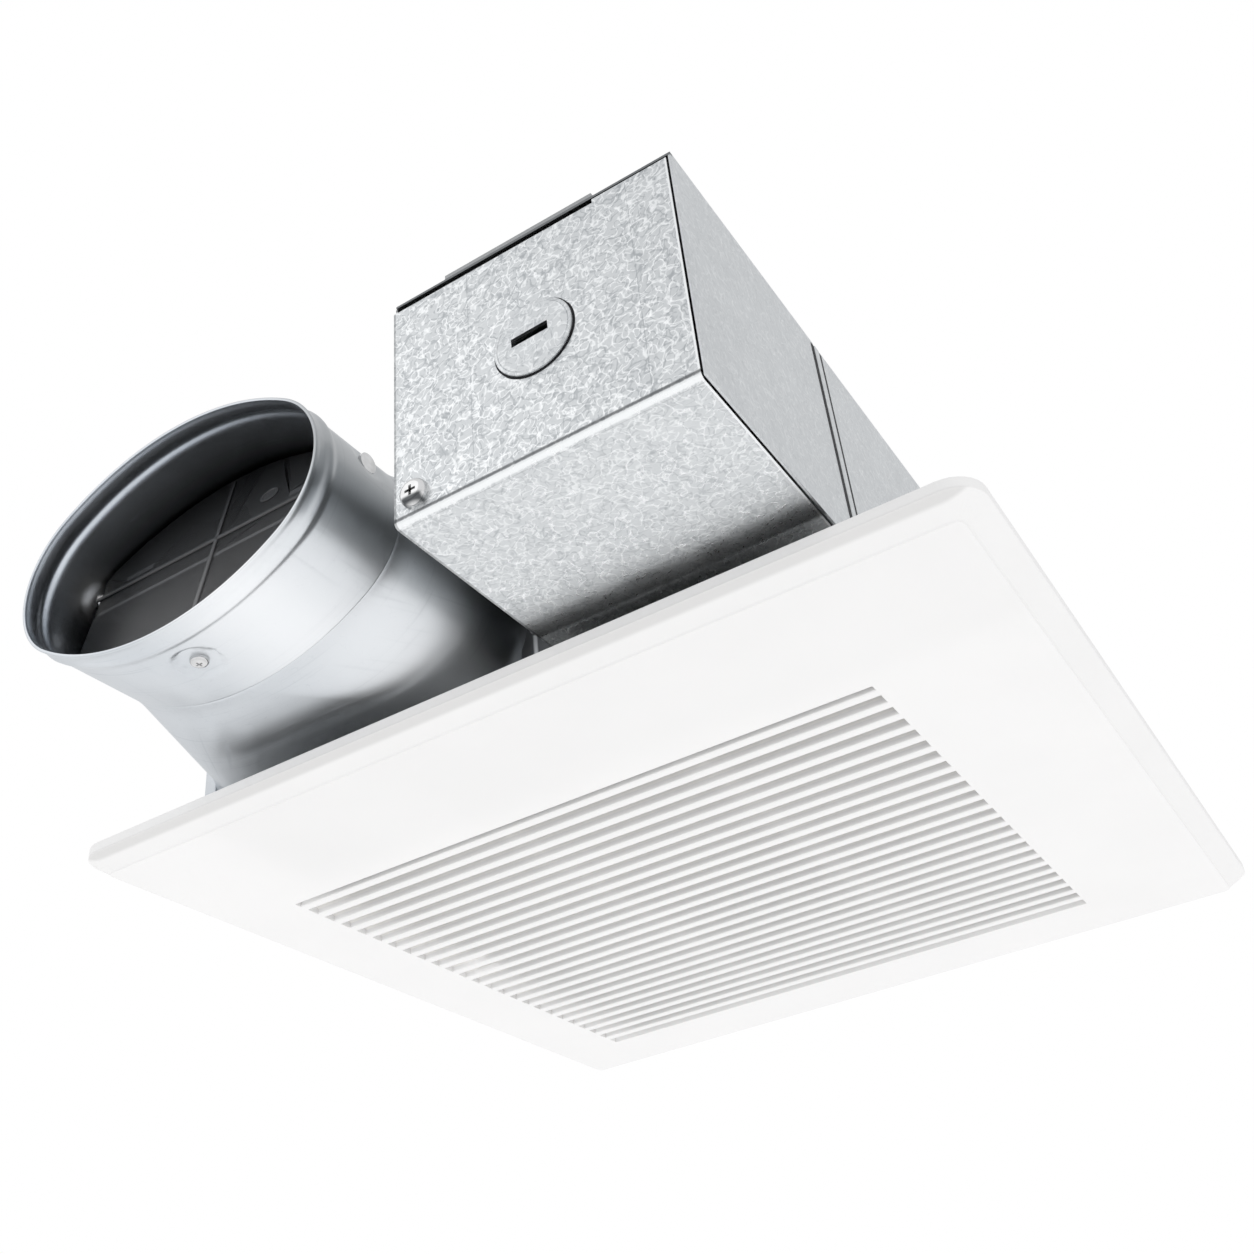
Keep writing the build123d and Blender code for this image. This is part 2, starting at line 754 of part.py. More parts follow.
# Collar: an oval tube with a bead and a rolled lip, dished where pins pass
bead_middle = collar_front + bead_setback
collar_steps = (
    (collar_back, 0),
    (bead_middle + bead_length, 0),
    (bead_middle, bead_rise),
    (bead_middle - bead_length, 0),
    (collar_front + lip_length, 0),
    (collar_front, lip_rise),
)
lean = math.radians(flap_lean)
plate_offset = rod_radius + slip_gap + flap_sheet / 2
stop_height = duct_z - bore_b + dish_depth + stop_nut_height / 2
stop_drop = (pivot_z - stop_height) / math.cos(lean)
flap_back = plate_offset - flap_sheet / 2
stop_face = pivot_y - stop_drop * math.sin(lean) - flap_back * math.cos(lean)
stop_y = stop_face + 2 * body_gap + stop_nut_radius
dish_x = side_offset + math.sqrt(collar_side_radius**2 - pivot_rise**2)
with BuildPart() as duct_collar:
    for y, rise in collar_steps:
        with BuildSketch(wall_plane(y)):
            with BuildLine():
                oval_outline(rise)
            make_face()
    loft(ruled=True)
    for y, rise in collar_steps:
        with BuildSketch(wall_plane(y)):
            with BuildLine():
                oval_outline(rise - collar_sheet)
            make_face()
    loft(ruled=True, mode=Mode.SUBTRACT)
    for side in (-1, 1):
        inner_x = duct_x + side * (dish_x - collar_sheet - dish_depth)
        with BuildSketch(Plane.YZ.offset(inner_x)):
            with Locations((pivot_y, pivot_z)):
                Circle(dish_radius + collar_sheet)
        extrude(amount=side * (collar_sheet + dish_depth))
        with BuildSketch(Plane.YZ.offset(inner_x + side * collar_sheet)):
            with Locations((pivot_y, pivot_z)):
                Circle(dish_radius)
        extrude(amount=side * overrun, mode=Mode.SUBTRACT)
        with BuildSketch(Plane.YZ.offset(inner_x - side * collar_sheet)):
            with Locations((pivot_y, pivot_z)):
                Circle(rod_radius + running_gap)
        extrude(amount=side * overrun, mode=Mode.SUBTRACT)
    low_z = duct_z - oval_b
    with BuildSketch(Plane.XY.offset(low_z + dish_depth)):
        with Locations((duct_x, stop_y)):
            Circle(dish_radius + collar_sheet)
    extrude(amount=collar_sheet)
    with BuildSketch(Plane.XY.offset(low_z)):
        with Locations((duct_x, stop_y)):
            Circle(dish_radius + collar_sheet)
            Circle(dish_radius, mode=Mode.SUBTRACT)
    extrude(amount=dish_depth)
    with BuildSketch(Plane.XY.offset(low_z + dish_depth)):
        with Locations((duct_x, stop_y)):
            Circle(dish_radius)
    extrude(amount=-overrun, mode=Mode.SUBTRACT)
    with BuildSketch(Plane.XY.offset(low_z)):
        with Locations((duct_x, stop_y)):
            Circle(small_shank_radius + slip_gap)
    extrude(amount=overrun, mode=Mode.SUBTRACT)
save(duct_collar, "duct_collar")

# Damper: the flap hangs from a rod above its middle and leans on the stop
outward = (0, -math.cos(lean), math.sin(lean))
bore_reach = math.sqrt((collar_side_radius - collar_sheet) ** 2 - (pivot_rise + plate_offset) ** 2)
flap_half_width = side_offset + bore_reach - dish_depth - collar_sheet - flap_margin
pivot_point = Vector(duct_x, pivot_y, pivot_z)
flap_plane = Plane(pivot_point, x_dir=(1, 0, 0), z_dir=outward).offset(flap_back)
flap_centre = -pivot_rise / math.cos(lean)
with BuildPart() as damper_flap:
    with BuildSketch(wall_plane(collar_back)):
        with BuildLine():
            oval_outline(-collar_sheet - flap_margin)
        make_face()
    extrude(amount=collar_back - collar_front)
    with BuildSketch(flap_plane):
        with Locations((0, flap_centre)):
            Rectangle(2 * flap_half_width, 4 * bore_b)
    extrude(amount=flap_sheet, mode=Mode.INTERSECT)
    with BuildSketch(flap_plane.offset(flap_sheet)):
        with Locations((0, flap_centre)):
            Rectangle(2 * flap_half_width - 2 * flap_margin, flap_rib_width)
            Rectangle(flap_rib_width, 2 * (bore_b - 2 * flap_margin))
    extrude(amount=flap_rib_rise)
    with BuildSketch(Plane.YZ.offset(duct_x - saddle_spacing / 2 - saddle_length / 2)):
        with Locations((pivot_y, pivot_z)):
            Circle(rod_radius + slip_gap + saddle_wall)
    extrude(amount=saddle_length)
    with BuildSketch(Plane.YZ.offset(duct_x + saddle_spacing / 2 - saddle_length / 2)):
        with Locations((pivot_y, pivot_z)):
            Circle(rod_radius + slip_gap + saddle_wall)
    extrude(amount=saddle_length)
    with BuildSketch(Plane.YZ.offset(duct_x - bore_a)):
        with Locations((pivot_y, pivot_z)):
            Circle(rod_radius + slip_gap)
    extrude(amount=2 * bore_a, mode=Mode.SUBTRACT)
save(damper_flap, "damper_flap")

rod_half = dish_x - dish_depth + slip_gap
with BuildPart() as damper_rod:
    with BuildSketch(Plane.YZ.offset(duct_x - rod_half)):
        with Locations((pivot_y, pivot_z)):
            Circle(rod_radius)
    extrude(amount=2 * rod_half)
    for side in (-1, 1):
        with BuildSketch(Plane.YZ.offset(duct_x + side * rod_half)):
            with Locations((pivot_y, pivot_z)):
                Circle(rod_head_radius)
        extrude(amount=side * rod_head_height)
save(damper_rod, "damper_rod")

with BuildPart() as damper_stop_screw:
    with Locations(Location((duct_x, stop_y, low_z + dish_depth), (180, 0, 0))):
        add(small_screw)
save(damper_stop_screw, "damper_stop_screw")

with BuildPart() as damper_stop_nut:
    with BuildSketch(Plane.XY.offset(low_z + dish_depth + collar_sheet)):
        with Locations((duct_x, stop_y)):
            RegularPolygon(stop_nut_radius, 6, rotation=stop_nut_turn, major_radius=False)
            Circle(small_shank_radius + slip_gap, mode=Mode.SUBTRACT)
    extrude(amount=stop_nut_height)
save(damper_stop_nut, "damper_stop_nut")


# Wiring compartment: a channel of top and side walls, closed by a bent cover
tab_far = cover_screw_x + cover_tab_radius / 2
box_depth = housing_near - box_front
with BuildPart() as wiring_box:
    with BuildSketch(wall_plane(housing_near)):
        with Locations((box_middle, (box_bottom + housing_top) / 2)):
            Rectangle(box_width, housing_top - box_bottom)
        with Locations((box_middle, (box_bottom + inner_top) / 2 - overrun / 2)):
            Rectangle(
                box_width - 2 * sheet, inner_top - box_bottom + overrun, mode=Mode.SUBTRACT
            )
    extrude(amount=box_depth)
    with BuildSketch(wall_plane(housing_near)):
        for side in (-1, 1):
            flange_x = box_middle + side * (box_width / 2 - box_flange / 2)
            with Locations((flange_x, (box_bottom + housing_top) / 2)):
                Rectangle(box_flange, housing_top - box_bottom)
    extrude(amount=sheet)
    with BuildSketch(Plane.XY.offset(box_bottom)):
        with Locations((box_middle, (box_front + housing_near) / 2)):
            Rectangle(box_width - 2 * sheet, box_depth)
        with Locations((box_left, (box_front + housing_near) / 2)):
            Rectangle(2 * sheet, box_depth)
    extrude(amount=sheet + slip_gap, mode=Mode.SUBTRACT)
    with BuildSketch(wall_plane(box_front - sheet)):
        with Locations((box_left, (box_bottom + housing_top) / 2)):
            Rectangle(2 * sheet, housing_top - box_bottom)
    extrude(amount=-2 * sheet - slip_gap, mode=Mode.SUBTRACT)
    with BuildSketch(wall_plane(box_front - sheet)):
        with Locations((box_left, box_bottom)):
            Rectangle(2 * sheet, 2 * (sheet + cover_bend))
    extrude(amount=-2 * sheet - slip_gap - cover_bend, mode=Mode.SUBTRACT)
    with BuildSketch(wall_plane(box_front + sheet + slip_gap)):
        with Locations(((box_left + tab_far) / 2, cover_screw_z)):
            Rectangle(tab_far - box_left, 2 * cover_tab_radius)
        with Locations((tab_far, cover_screw_z)):
            Circle(cover_tab_radius)
        with Locations((cover_screw_x, cover_screw_z)):
            Circle(cover_shank_radius + slip_gap, mode=Mode.SUBTRACT)
    extrude(amount=-sheet)
    with BuildSketch(Plane.YZ.offset(box_lip_left)):
        with BuildLine():
            Polyline(
                (box_front, housing_top),
                (box_front, housing_top + box_lip_rise),
                (box_front + box_lip_depth, housing_top + box_lip_rise),
                (box_front + 2 * box_lip_depth, housing_top),
                close=True,
            )
        make_face()
    extrude(amount=box_lip_right - box_lip_left)
save(wiring_box, "wiring_box")

cover_left = box_left
cover_right = inner_half - cover_gap
cover_top = inner_top - cover_gap
with BuildPart() as wiring_cover:
    with BuildSketch(Plane.YZ.offset(cover_left)):
        with BuildLine():
            FilletPolyline(
                (box_front, cover_top),
                (box_front, box_bottom),
                (housing_near - slip_gap, box_bottom),
                radius=cover_bend,
            )
            offset(amount=sheet, side=Side.LEFT)
        make_face()
    extrude(amount=cover_right - cover_left)
    with BuildSketch(wall_plane(box_front + overrun)):
        with Locations((knockout_x, knockout_z)):
            Circle(knockout_radius + knockout_slit)
            Circle(knockout_radius, mode=Mode.SUBTRACT)
            Rectangle(
                3 * knockout_radius, knockout_tie, rotation=knockout_tie_tilt, mode=Mode.SUBTRACT
            )
        with Locations(Location((knockout_x, knockout_z + pry_slot_rise), pry_slot_tilt)):
            Rectangle(pry_slot_length, pry_slot_width)
        with Locations((cover_screw_x, cover_screw_z)):
            Circle(cover_shank_radius + slip_gap)
    extrude(amount=2 * overrun, mode=Mode.SUBTRACT)
save(wiring_cover, "wiring_cover")

with BuildPart() as cover_screw:
    with Locations(Location((cover_screw_x, box_front, cover_screw_z), (90, 0, 0))):
        add(big_screw)
save(cover_screw, "cover_screw")

with BuildPart() as ground_screw:
    with Locations(Location((ground_place[0], housing_near, ground_place[1]), (90, 0, 0))):
        add(small_screw)
save(ground_screw, "ground_screw")

# Connector through the wall, with the driver board and its cover behind it
with BuildPart() as line_connector:
    with BuildSketch(wall_plane(inner_near + connector_depth / 3)):
        with Locations((connector_x, connector_z)):
            Rectangle(connector_width, connector_height)
    extrude(amount=connector_depth)
    with BuildSketch(wall_plane(housing_near)):
        with Locations((connector_x, connector_z)):
            Rectangle(
                connector_width + 2 * connector_rim, connector_height + 2 * connector_rim
            )
    extrude(amount=connector_rim)
    chamfer(
        line_connector.faces().sort_by(Axis.Y)[0].edges(),
        connector_rim / 2,
    )
save(line_connector, "line_connector")

driver_middle = (driver_left + driver_right) / 2
driver_centre = (driver_bottom + driver_top) / 2
driver_height = driver_top - driver_bottom
with BuildPart() as driver_cover:
    with BuildSketch(wall_plane(inner_near)):
        with Locations((driver_middle, driver_centre)):
            RectangleRounded(driver_width, driver_height, driver_round)
    extrude(amount=-driver_depth)
    chamfer(driver_cover.faces().sort_by(Axis.Y)[-1].edges(), driver_wall)
    with BuildSketch(wall_plane(inner_near)):
        with Locations((driver_middle, driver_centre)):
            RectangleRounded(
                driver_width - 2 * driver_wall,
                driver_height - 2 * driver_wall,
                driver_round - driver_wall,
            )
    extrude(amount=driver_wall - driver_depth, mode=Mode.SUBTRACT)
save(driver_cover, "driver_cover")

board_y = inner_near + connector_depth / 3 + body_gap
with BuildPart() as driver_board:
    with BuildSketch(wall_plane(board_y)):
        with Locations((driver_middle, driver_centre)):
            Rectangle(
                driver_width - 2 * driver_wall - slip_gap, driver_height - 2 * board_margin
            )
    extrude(amount=-board_sheet)
    with BuildSketch(wall_plane(board_y + board_sheet)):
        with Locations((driver_middle - 2 * relay_side, driver_centre)):
            Circle(capacitor_radius)
        with Locations((driver_middle + relay_side, driver_centre - relay_side)):
            Circle(capacitor_radius)
    extrude(amount=-capacitor_height)
    with BuildSketch(wall_plane(board_y + board_sheet)):
        with Locations((driver_middle, driver_centre + relay_side)):
            Rectangle(relay_side, relay_side)
        with Locations((driver_middle + 2 * relay_side, driver_centre + relay_side)):
            Rectangle(relay_side, relay_side)
    extrude(amount=-relay_height)
save(driver_board, "driver_board")


# Grille: a shallow tray with a proud face, slots, blades behind the bars and posts
field_middle = (field_left + field_right) / 2
first_slot = field_near + slot_width / 2
slot_places = [(field_middle, first_slot + slot_pitch * i) for i in range(slot_count)]
blade_places = [
    (field_middle, first_slot + slot_width / 2 + blade_thickness / 2 + slot_pitch * i)
    for i in range(slot_count - 1)
]
tray_floor = grille_depth - face_step
face_corner_radius = grille_corner_radius - face_inset


def tray(inset, depth):
    """Solid of the grille's outer form, moved in by inset: straight rim, then a bevel."""
    rim_side = grille_side - 2 * inset
    floor_side = face_side - 2 * inset
    with BuildPart() as form:
        with BuildSketch():
            RectangleRounded(rim_side, rim_side, grille_corner_radius - inset)
        extrude(amount=-grille_edge_height)
        with BuildSketch(Plane.XY.offset(-grille_edge_height)):
            RectangleRounded(rim_side, rim_side, grille_corner_radius - inset)
        with BuildSketch(Plane.XY.offset(-depth)):
            RectangleRounded(floor_side, floor_side, face_corner_radius - inset)
        loft(ruled=True)
    return form.part


with BuildPart() as grille:
    add(tray(0, tray_floor))
    with BuildSketch(Plane.XY.offset(-tray_floor)):
        RectangleRounded(face_side, face_side, face_corner_radius)
    extrude(amount=-face_step)
    add(tray(grille_wall, -face_back), mode=Mode.SUBTRACT)
    with BuildSketch(Plane.XY.offset(-grille_depth)):
        with Locations(*slot_places):
            Rectangle(field_width, slot_width)
        with Locations((field_middle, field_near + first_slot_narrowing / 2)):
            Rectangle(field_width, first_slot_narrowing, mode=Mode.SUBTRACT)
    extrude(amount=grille_depth, mode=Mode.SUBTRACT)
    with BuildSketch(Plane.XY.offset(face_back)):
        with Locations(*blade_places):
            Rectangle(field_width, blade_thickness)
    extrude(amount=-face_back - blade_top_drop)
    with BuildSketch(Plane.XY.offset(-blade_top_drop)):
        for rib_x in (-post_offset, -cross_rib_spacing / 2, cross_rib_spacing / 2):
            with Locations((rib_x, (field_near + field_far) / 2)):
                Rectangle(cross_rib_thickness, field_far - field_near + 2 * bar_width)
    extrude(amount=-cross_rib_height)
    for side in (-1, 1):
        with BuildSketch(Plane.XY.offset(face_back)):
            with Locations((side * post_offset, 0)):
                Rectangle(spring_coil_length + 2 * (body_gap + post_cheek), post_width)
        extrude(amount=-face_back - blade_top_drop)
save(grille, "grille")

# Spring posts, seated on the grille's pads, each with a pin between two cheeks
for side, name in ((-1, "left"), (1, "right")):
    with BuildPart() as post:
        for cheek in (-1, 1):
            cheek_middle = side * post_offset + cheek * (
                spring_coil_length / 2 + body_gap + post_cheek / 2
            )
            with BuildSketch(Plane.YZ.offset(cheek_middle - post_cheek / 2)):
                with BuildLine():
                    Polyline(
                        (-post_width / 2, -blade_top_drop),
                        (post_width / 2, -blade_top_drop),
                        (post_width / 4, post_top),
                        (-post_width / 4, post_top),
                        close=True,
                    )
                make_face()
            extrude(amount=post_cheek)
        pin_start = side * post_offset - spring_coil_length / 2 - post_cheek
        with BuildSketch(Plane.YZ.offset(pin_start)):
            with Locations((0, post_pin_height)):
                Circle(post_pin_radius)
        extrude(amount=spring_coil_length + 2 * post_cheek)
    save(post, f"grille_post_{name}")

# Springs: a wound coil on the post's pin and two legs that spread above the bracket
coil_inner = post_pin_radius + body_gap
coil_outer = coil_inner + spring_wire
leg_start = (coil_inner + coil_outer) / 2
leg_run = Vector(0, spring_leg_spread - leg_start, spring_leg_height - post_pin_height)
slot_level = bracket_height + bracket_sheet
slot_share = (slot_level - post_pin_height) / (spring_leg_height - post_pin_height)
slot_half = (
    leg_start + (spring_leg_spread - leg_start) * slot_share + spring_wire / 2 + 2 * body_gap
)
for side, name in ((-1, "left"), (1, "right")):
    coil_start = side * post_offset - spring_coil_length / 2
    with BuildPart() as spring:
        with BuildSketch(Plane.YZ.offset(coil_start)):
            with Locations((0, post_pin_height)):
                Circle(coil_outer)
                Circle(coil_inner, mode=Mode.SUBTRACT)
        extrude(amount=spring_coil_length)
        for leg in (-1, 1):
            leg_x = side * post_offset + leg * ((spring_coil_length - spring_wire) / 2 - slip_gap)
            foot = Vector(leg_x, leg * leg_start, post_pin_height)
            top = foot + Vector(0, leg * leg_run.Y, leg_run.Z)
            with BuildLine():
                Polyline(foot, top, top + (0, leg * spring_hook_length, 0))
            with BuildSketch(Plane(foot, z_dir=top - foot)):
                RegularPolygon(spring_wire / 2, 6)
            sweep(transition=Transition.RIGHT)
    save(spring, f"grille_spring_{name}")

    wall_x = side * inner_half
    with BuildPart() as bracket:
        with BuildSketch(Plane.XY.offset(bracket_height)):
            with Locations((wall_x - side * bracket_reach / 2, 0)):
                Rectangle(bracket_reach, bracket_width)
            with Locations((side * post_offset, 0)):
                Rectangle(spring_coil_length + 2 * body_gap, 2 * slot_half, mode=Mode.SUBTRACT)
        extrude(amount=bracket_sheet)
        with BuildSketch(Plane.XY.offset(bracket_height)):
            with Locations((wall_x - side * bracket_sheet / 2, 0)):
                Rectangle(bracket_sheet, bracket_width)
        extrude(amount=bracket_flange_height)
    save(bracket, f"spring_bracket_{name}")
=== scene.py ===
"""Looks of a low-profile ceiling exhaust fan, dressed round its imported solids.

Lengths are metres, +Z is up and the duct leaves towards -Y.
"""

from __future__ import annotations

import functools
import logging
import math
from collections.abc import Callable, Iterable
from dataclasses import dataclass
from enum import Enum

import bmesh
import bpy
from mathutils import Euler, Matrix, Vector


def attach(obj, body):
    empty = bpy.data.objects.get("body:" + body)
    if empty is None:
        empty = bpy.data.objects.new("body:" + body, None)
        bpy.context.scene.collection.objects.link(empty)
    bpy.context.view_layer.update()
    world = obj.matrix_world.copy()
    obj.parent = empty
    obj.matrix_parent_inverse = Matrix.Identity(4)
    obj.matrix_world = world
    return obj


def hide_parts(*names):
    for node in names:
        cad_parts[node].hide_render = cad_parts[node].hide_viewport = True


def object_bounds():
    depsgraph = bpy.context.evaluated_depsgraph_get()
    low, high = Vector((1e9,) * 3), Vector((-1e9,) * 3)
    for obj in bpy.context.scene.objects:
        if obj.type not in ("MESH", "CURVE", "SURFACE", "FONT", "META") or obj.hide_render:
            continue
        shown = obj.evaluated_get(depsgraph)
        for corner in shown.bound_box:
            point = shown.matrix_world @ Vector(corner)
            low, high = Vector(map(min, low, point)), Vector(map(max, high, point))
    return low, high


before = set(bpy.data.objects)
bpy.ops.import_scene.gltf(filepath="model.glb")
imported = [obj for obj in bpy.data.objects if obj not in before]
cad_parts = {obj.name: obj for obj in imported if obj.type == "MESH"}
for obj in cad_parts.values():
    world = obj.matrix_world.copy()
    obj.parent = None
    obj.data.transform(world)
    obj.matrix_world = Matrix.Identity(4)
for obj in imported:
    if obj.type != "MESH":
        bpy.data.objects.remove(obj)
cad_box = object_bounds()
log = logging.getLogger("exhaust_fan")

Colour = tuple[float, float, float]
Value = "float | Link"
Triple = Iterable[float]
Limits = tuple[float, float]
# The limit of a patch on a side where it has none
FREE = math.inf
MERGE_DISTANCE = 0.000001
SMOOTH_ANGLE = math.radians(40)
# About the length of a Wave texture's band at scale 1
WAVE_LENGTH = 0.3
MATERIAL_NODES = ("ShaderNodeBsdfPrincipled", "ShaderNodeOutputMaterial")
WORLD_NODES = ("ShaderNodeMixShader", "ShaderNodeOutputWorld")


class Link:
    """An output socket on which shader maths is written as Python expressions."""

    def __init__(self, sheet: "Sheet", socket: bpy.types.NodeSocket) -> None:
        """Keep the socket and the sheet that new Math nodes go on."""
        self.sheet = sheet
        self.socket = socket

    def maths(self, operation: str, *values: Value) -> "Link":
        """Result of a Math node on its inputs in order."""
        return self.sheet.node("ShaderNodeMath", {"operation": operation}, dict(enumerate(values)))

    def __add__(self, other: Value) -> "Link":
        """Sum with a value or a link."""
        return self.maths("ADD", self, other)

    __radd__ = __add__

    def __mul__(self, other: Value) -> "Link":
        """Product with a value or a link."""
        return self.maths("MULTIPLY", self, other)

    __rmul__ = __mul__

    def __sub__(self, other: Value) -> "Link":
        """Difference from a value or a link."""
        return self.maths("SUBTRACT", self, other)

    def __rsub__(self, other: Value) -> "Link":
        """What is left of a value when this is taken away."""
        return self.maths("SUBTRACT", other, self)

    def __abs__(self) -> "Link":
        """Size without sign."""
        return self.maths("ABSOLUTE", self)

    def step(self, low: float, high: float) -> "Link":
        """Rise smoothly from 0 at low to 1 at high.

        Args:
            low: value where the rise starts.
            high: value where it ends; smaller than low for a fall.

        Returns:
            The smooth step.
        """
        if high < low:
            return 1 - self.step(high, low)
        settings = {"interpolation_type": "SMOOTHSTEP", "clamp": True}
        return self.sheet.node("ShaderNodeMapRange", settings, {0: self, 1: low, 2: high})


class Sheet:
    """Node tree of a material or of the world, with its last shader."""

    def __init__(self, name: str, world: bool = False) -> None:
        """Make the material or world with only its last shader and its output.

        Args:
            name: its name.
            world: whether it is a world.
        """
        self.owner = (bpy.data.worlds if world else bpy.data.materials).new(name)
        self.owner.use_nodes = True
        self.tree = self.owner.node_tree
        self.tree.nodes.clear()
        kinds = WORLD_NODES if world else MATERIAL_NODES
        self.shader, output = (self.tree.nodes.new(kind) for kind in kinds)
        self.tree.links.new(self.shader.outputs[0], output.inputs[0])

    def node(self, kind: str, settings: dict, inputs: dict, output: int | str = 0) -> Link:
        """Make any node.

        Args:
            kind: the node's type.
            settings: its properties, set before its sockets.
            inputs: values or links of its sockets, by name or number.
            output: the output socket that is wanted.

        Returns:
            A link on that output.
        """
        made = self.tree.nodes.new(kind)
        for name, value in settings.items():
            setattr(made, name, value)
        for name, value in inputs.items():
            self.feed(made.inputs[name], value)
        return Link(self, made.outputs[output])

    def feed(self, socket: bpy.types.NodeSocket, value: Value | Colour) -> None:
        """Give a socket a value or link it.

        Args:
            socket: the input socket.
            value: a number, a colour or a link.
        """
        if isinstance(value, Link):
            self.tree.links.new(value.socket, socket)
        elif socket.type == "RGBA":
            socket.default_value = (*value, 1.0)
        else:
            socket.default_value = value

    def place(self, scale: Triple = (1, 1, 1), turn: Triple = (0, 0, 0)) -> Link:
        """Object coordinates, stretched and turned.

        Args:
            scale: factor on each axis.
            turn: angles in degrees.

        Returns:
            The coordinates as a vector.
        """
        spot = self.node("ShaderNodeTexCoord", {}, {}, "Object")
        angles = tuple(math.radians(a) for a in turn)
        inputs = {"Vector": spot, "Rotation": angles, "Scale": tuple(scale)}
        return self.node("ShaderNodeMapping", {}, inputs)

    def along(self, spot: Link, axis: int) -> Link:
        """Place of a point along an axis."""
        return self.node("ShaderNodeSeparateXYZ", {}, {0: spot}, axis)

    def noise(self, spot: Link, size: float, detail: float = 2, swirl: float = 0) -> Link:
        """Noise whose lumps have a given size in metres."""
        inputs = {"Vector": spot, "Scale": 1 / size, "Detail": detail, "Distortion": swirl}
        return self.node("ShaderNodeTexNoise", {}, inputs)

    def ridge(self, spot: Link, size: float, width: float, swirl: float = 0) -> Link:
        """Thin curling lines where a noise passes its middle."""
        return abs(self.noise(spot, size, 0, swirl) - 0.5).step(width, 0)

    def mix(self, share: Value, first: Colour | Link, second: Colour | Link) -> Link:
        """Blend two colours by a share."""
        inputs = {0: share, 6: first, 7: second}
        return self.node("ShaderNodeMix", {"data_type": "RGBA"}, inputs, 2)

    def bump(self, height: Link, depth: float, strength: float = 1) -> Link:
        """Bump from a height of 0 to 1 over a depth in metres."""
        inputs = {"Height": height, "Distance": depth, "Strength": strength}
        return self.node("ShaderNodeBump", {}, inputs)

    def finish(self, **sockets: Value | Colour) -> bpy.types.Material:
        """Feed the shader's sockets.

        Args:
            sockets: values or links by socket name, with underscores for its spaces.

        Returns:
            The material.
        """
        for name, value in sockets.items():
            self.feed(self.shader.inputs[name.replace("_", " ")], value)
        return self.owner


@dataclass(frozen=True)
class Patch:
    """A box with soft sides in which a finish has another colour; each patch here paints light or
    shade.
    """

    soft: float
    colour: Colour
    share: float = 1.0
    x: Limits = (-FREE, FREE)
    y: Limits = (-FREE, FREE)
    z: Limits = (-FREE, FREE)

    def over(self, sheet: Sheet, colour: Link) -> Link:
        """Lay the patch over a colour.

        Args:
            sheet: the material's sheet.
            colour: the colour so far.

        Returns:
            The colour with the patch on it.
        """
        spot = sheet.place()
        share = self.share
        for axis, limits in enumerate((self.x, self.y, self.z)):
            for limit, sign in zip(limits, (1, -1)):
                if math.isfinite(limit):
                    past = (sheet.along(spot, axis) - limit) * sign
                    share = past.step(-self.soft / 2, self.soft / 2) * share
        return sheet.mix(share, colour, self.colour)


def lay(patches: tuple[Patch, ...], sheet: Sheet, colour: Link) -> Link:
    """Lay patches over a colour in turn."""
    return functools.reduce(lambda under, patch: patch.over(sheet, under), patches, colour)


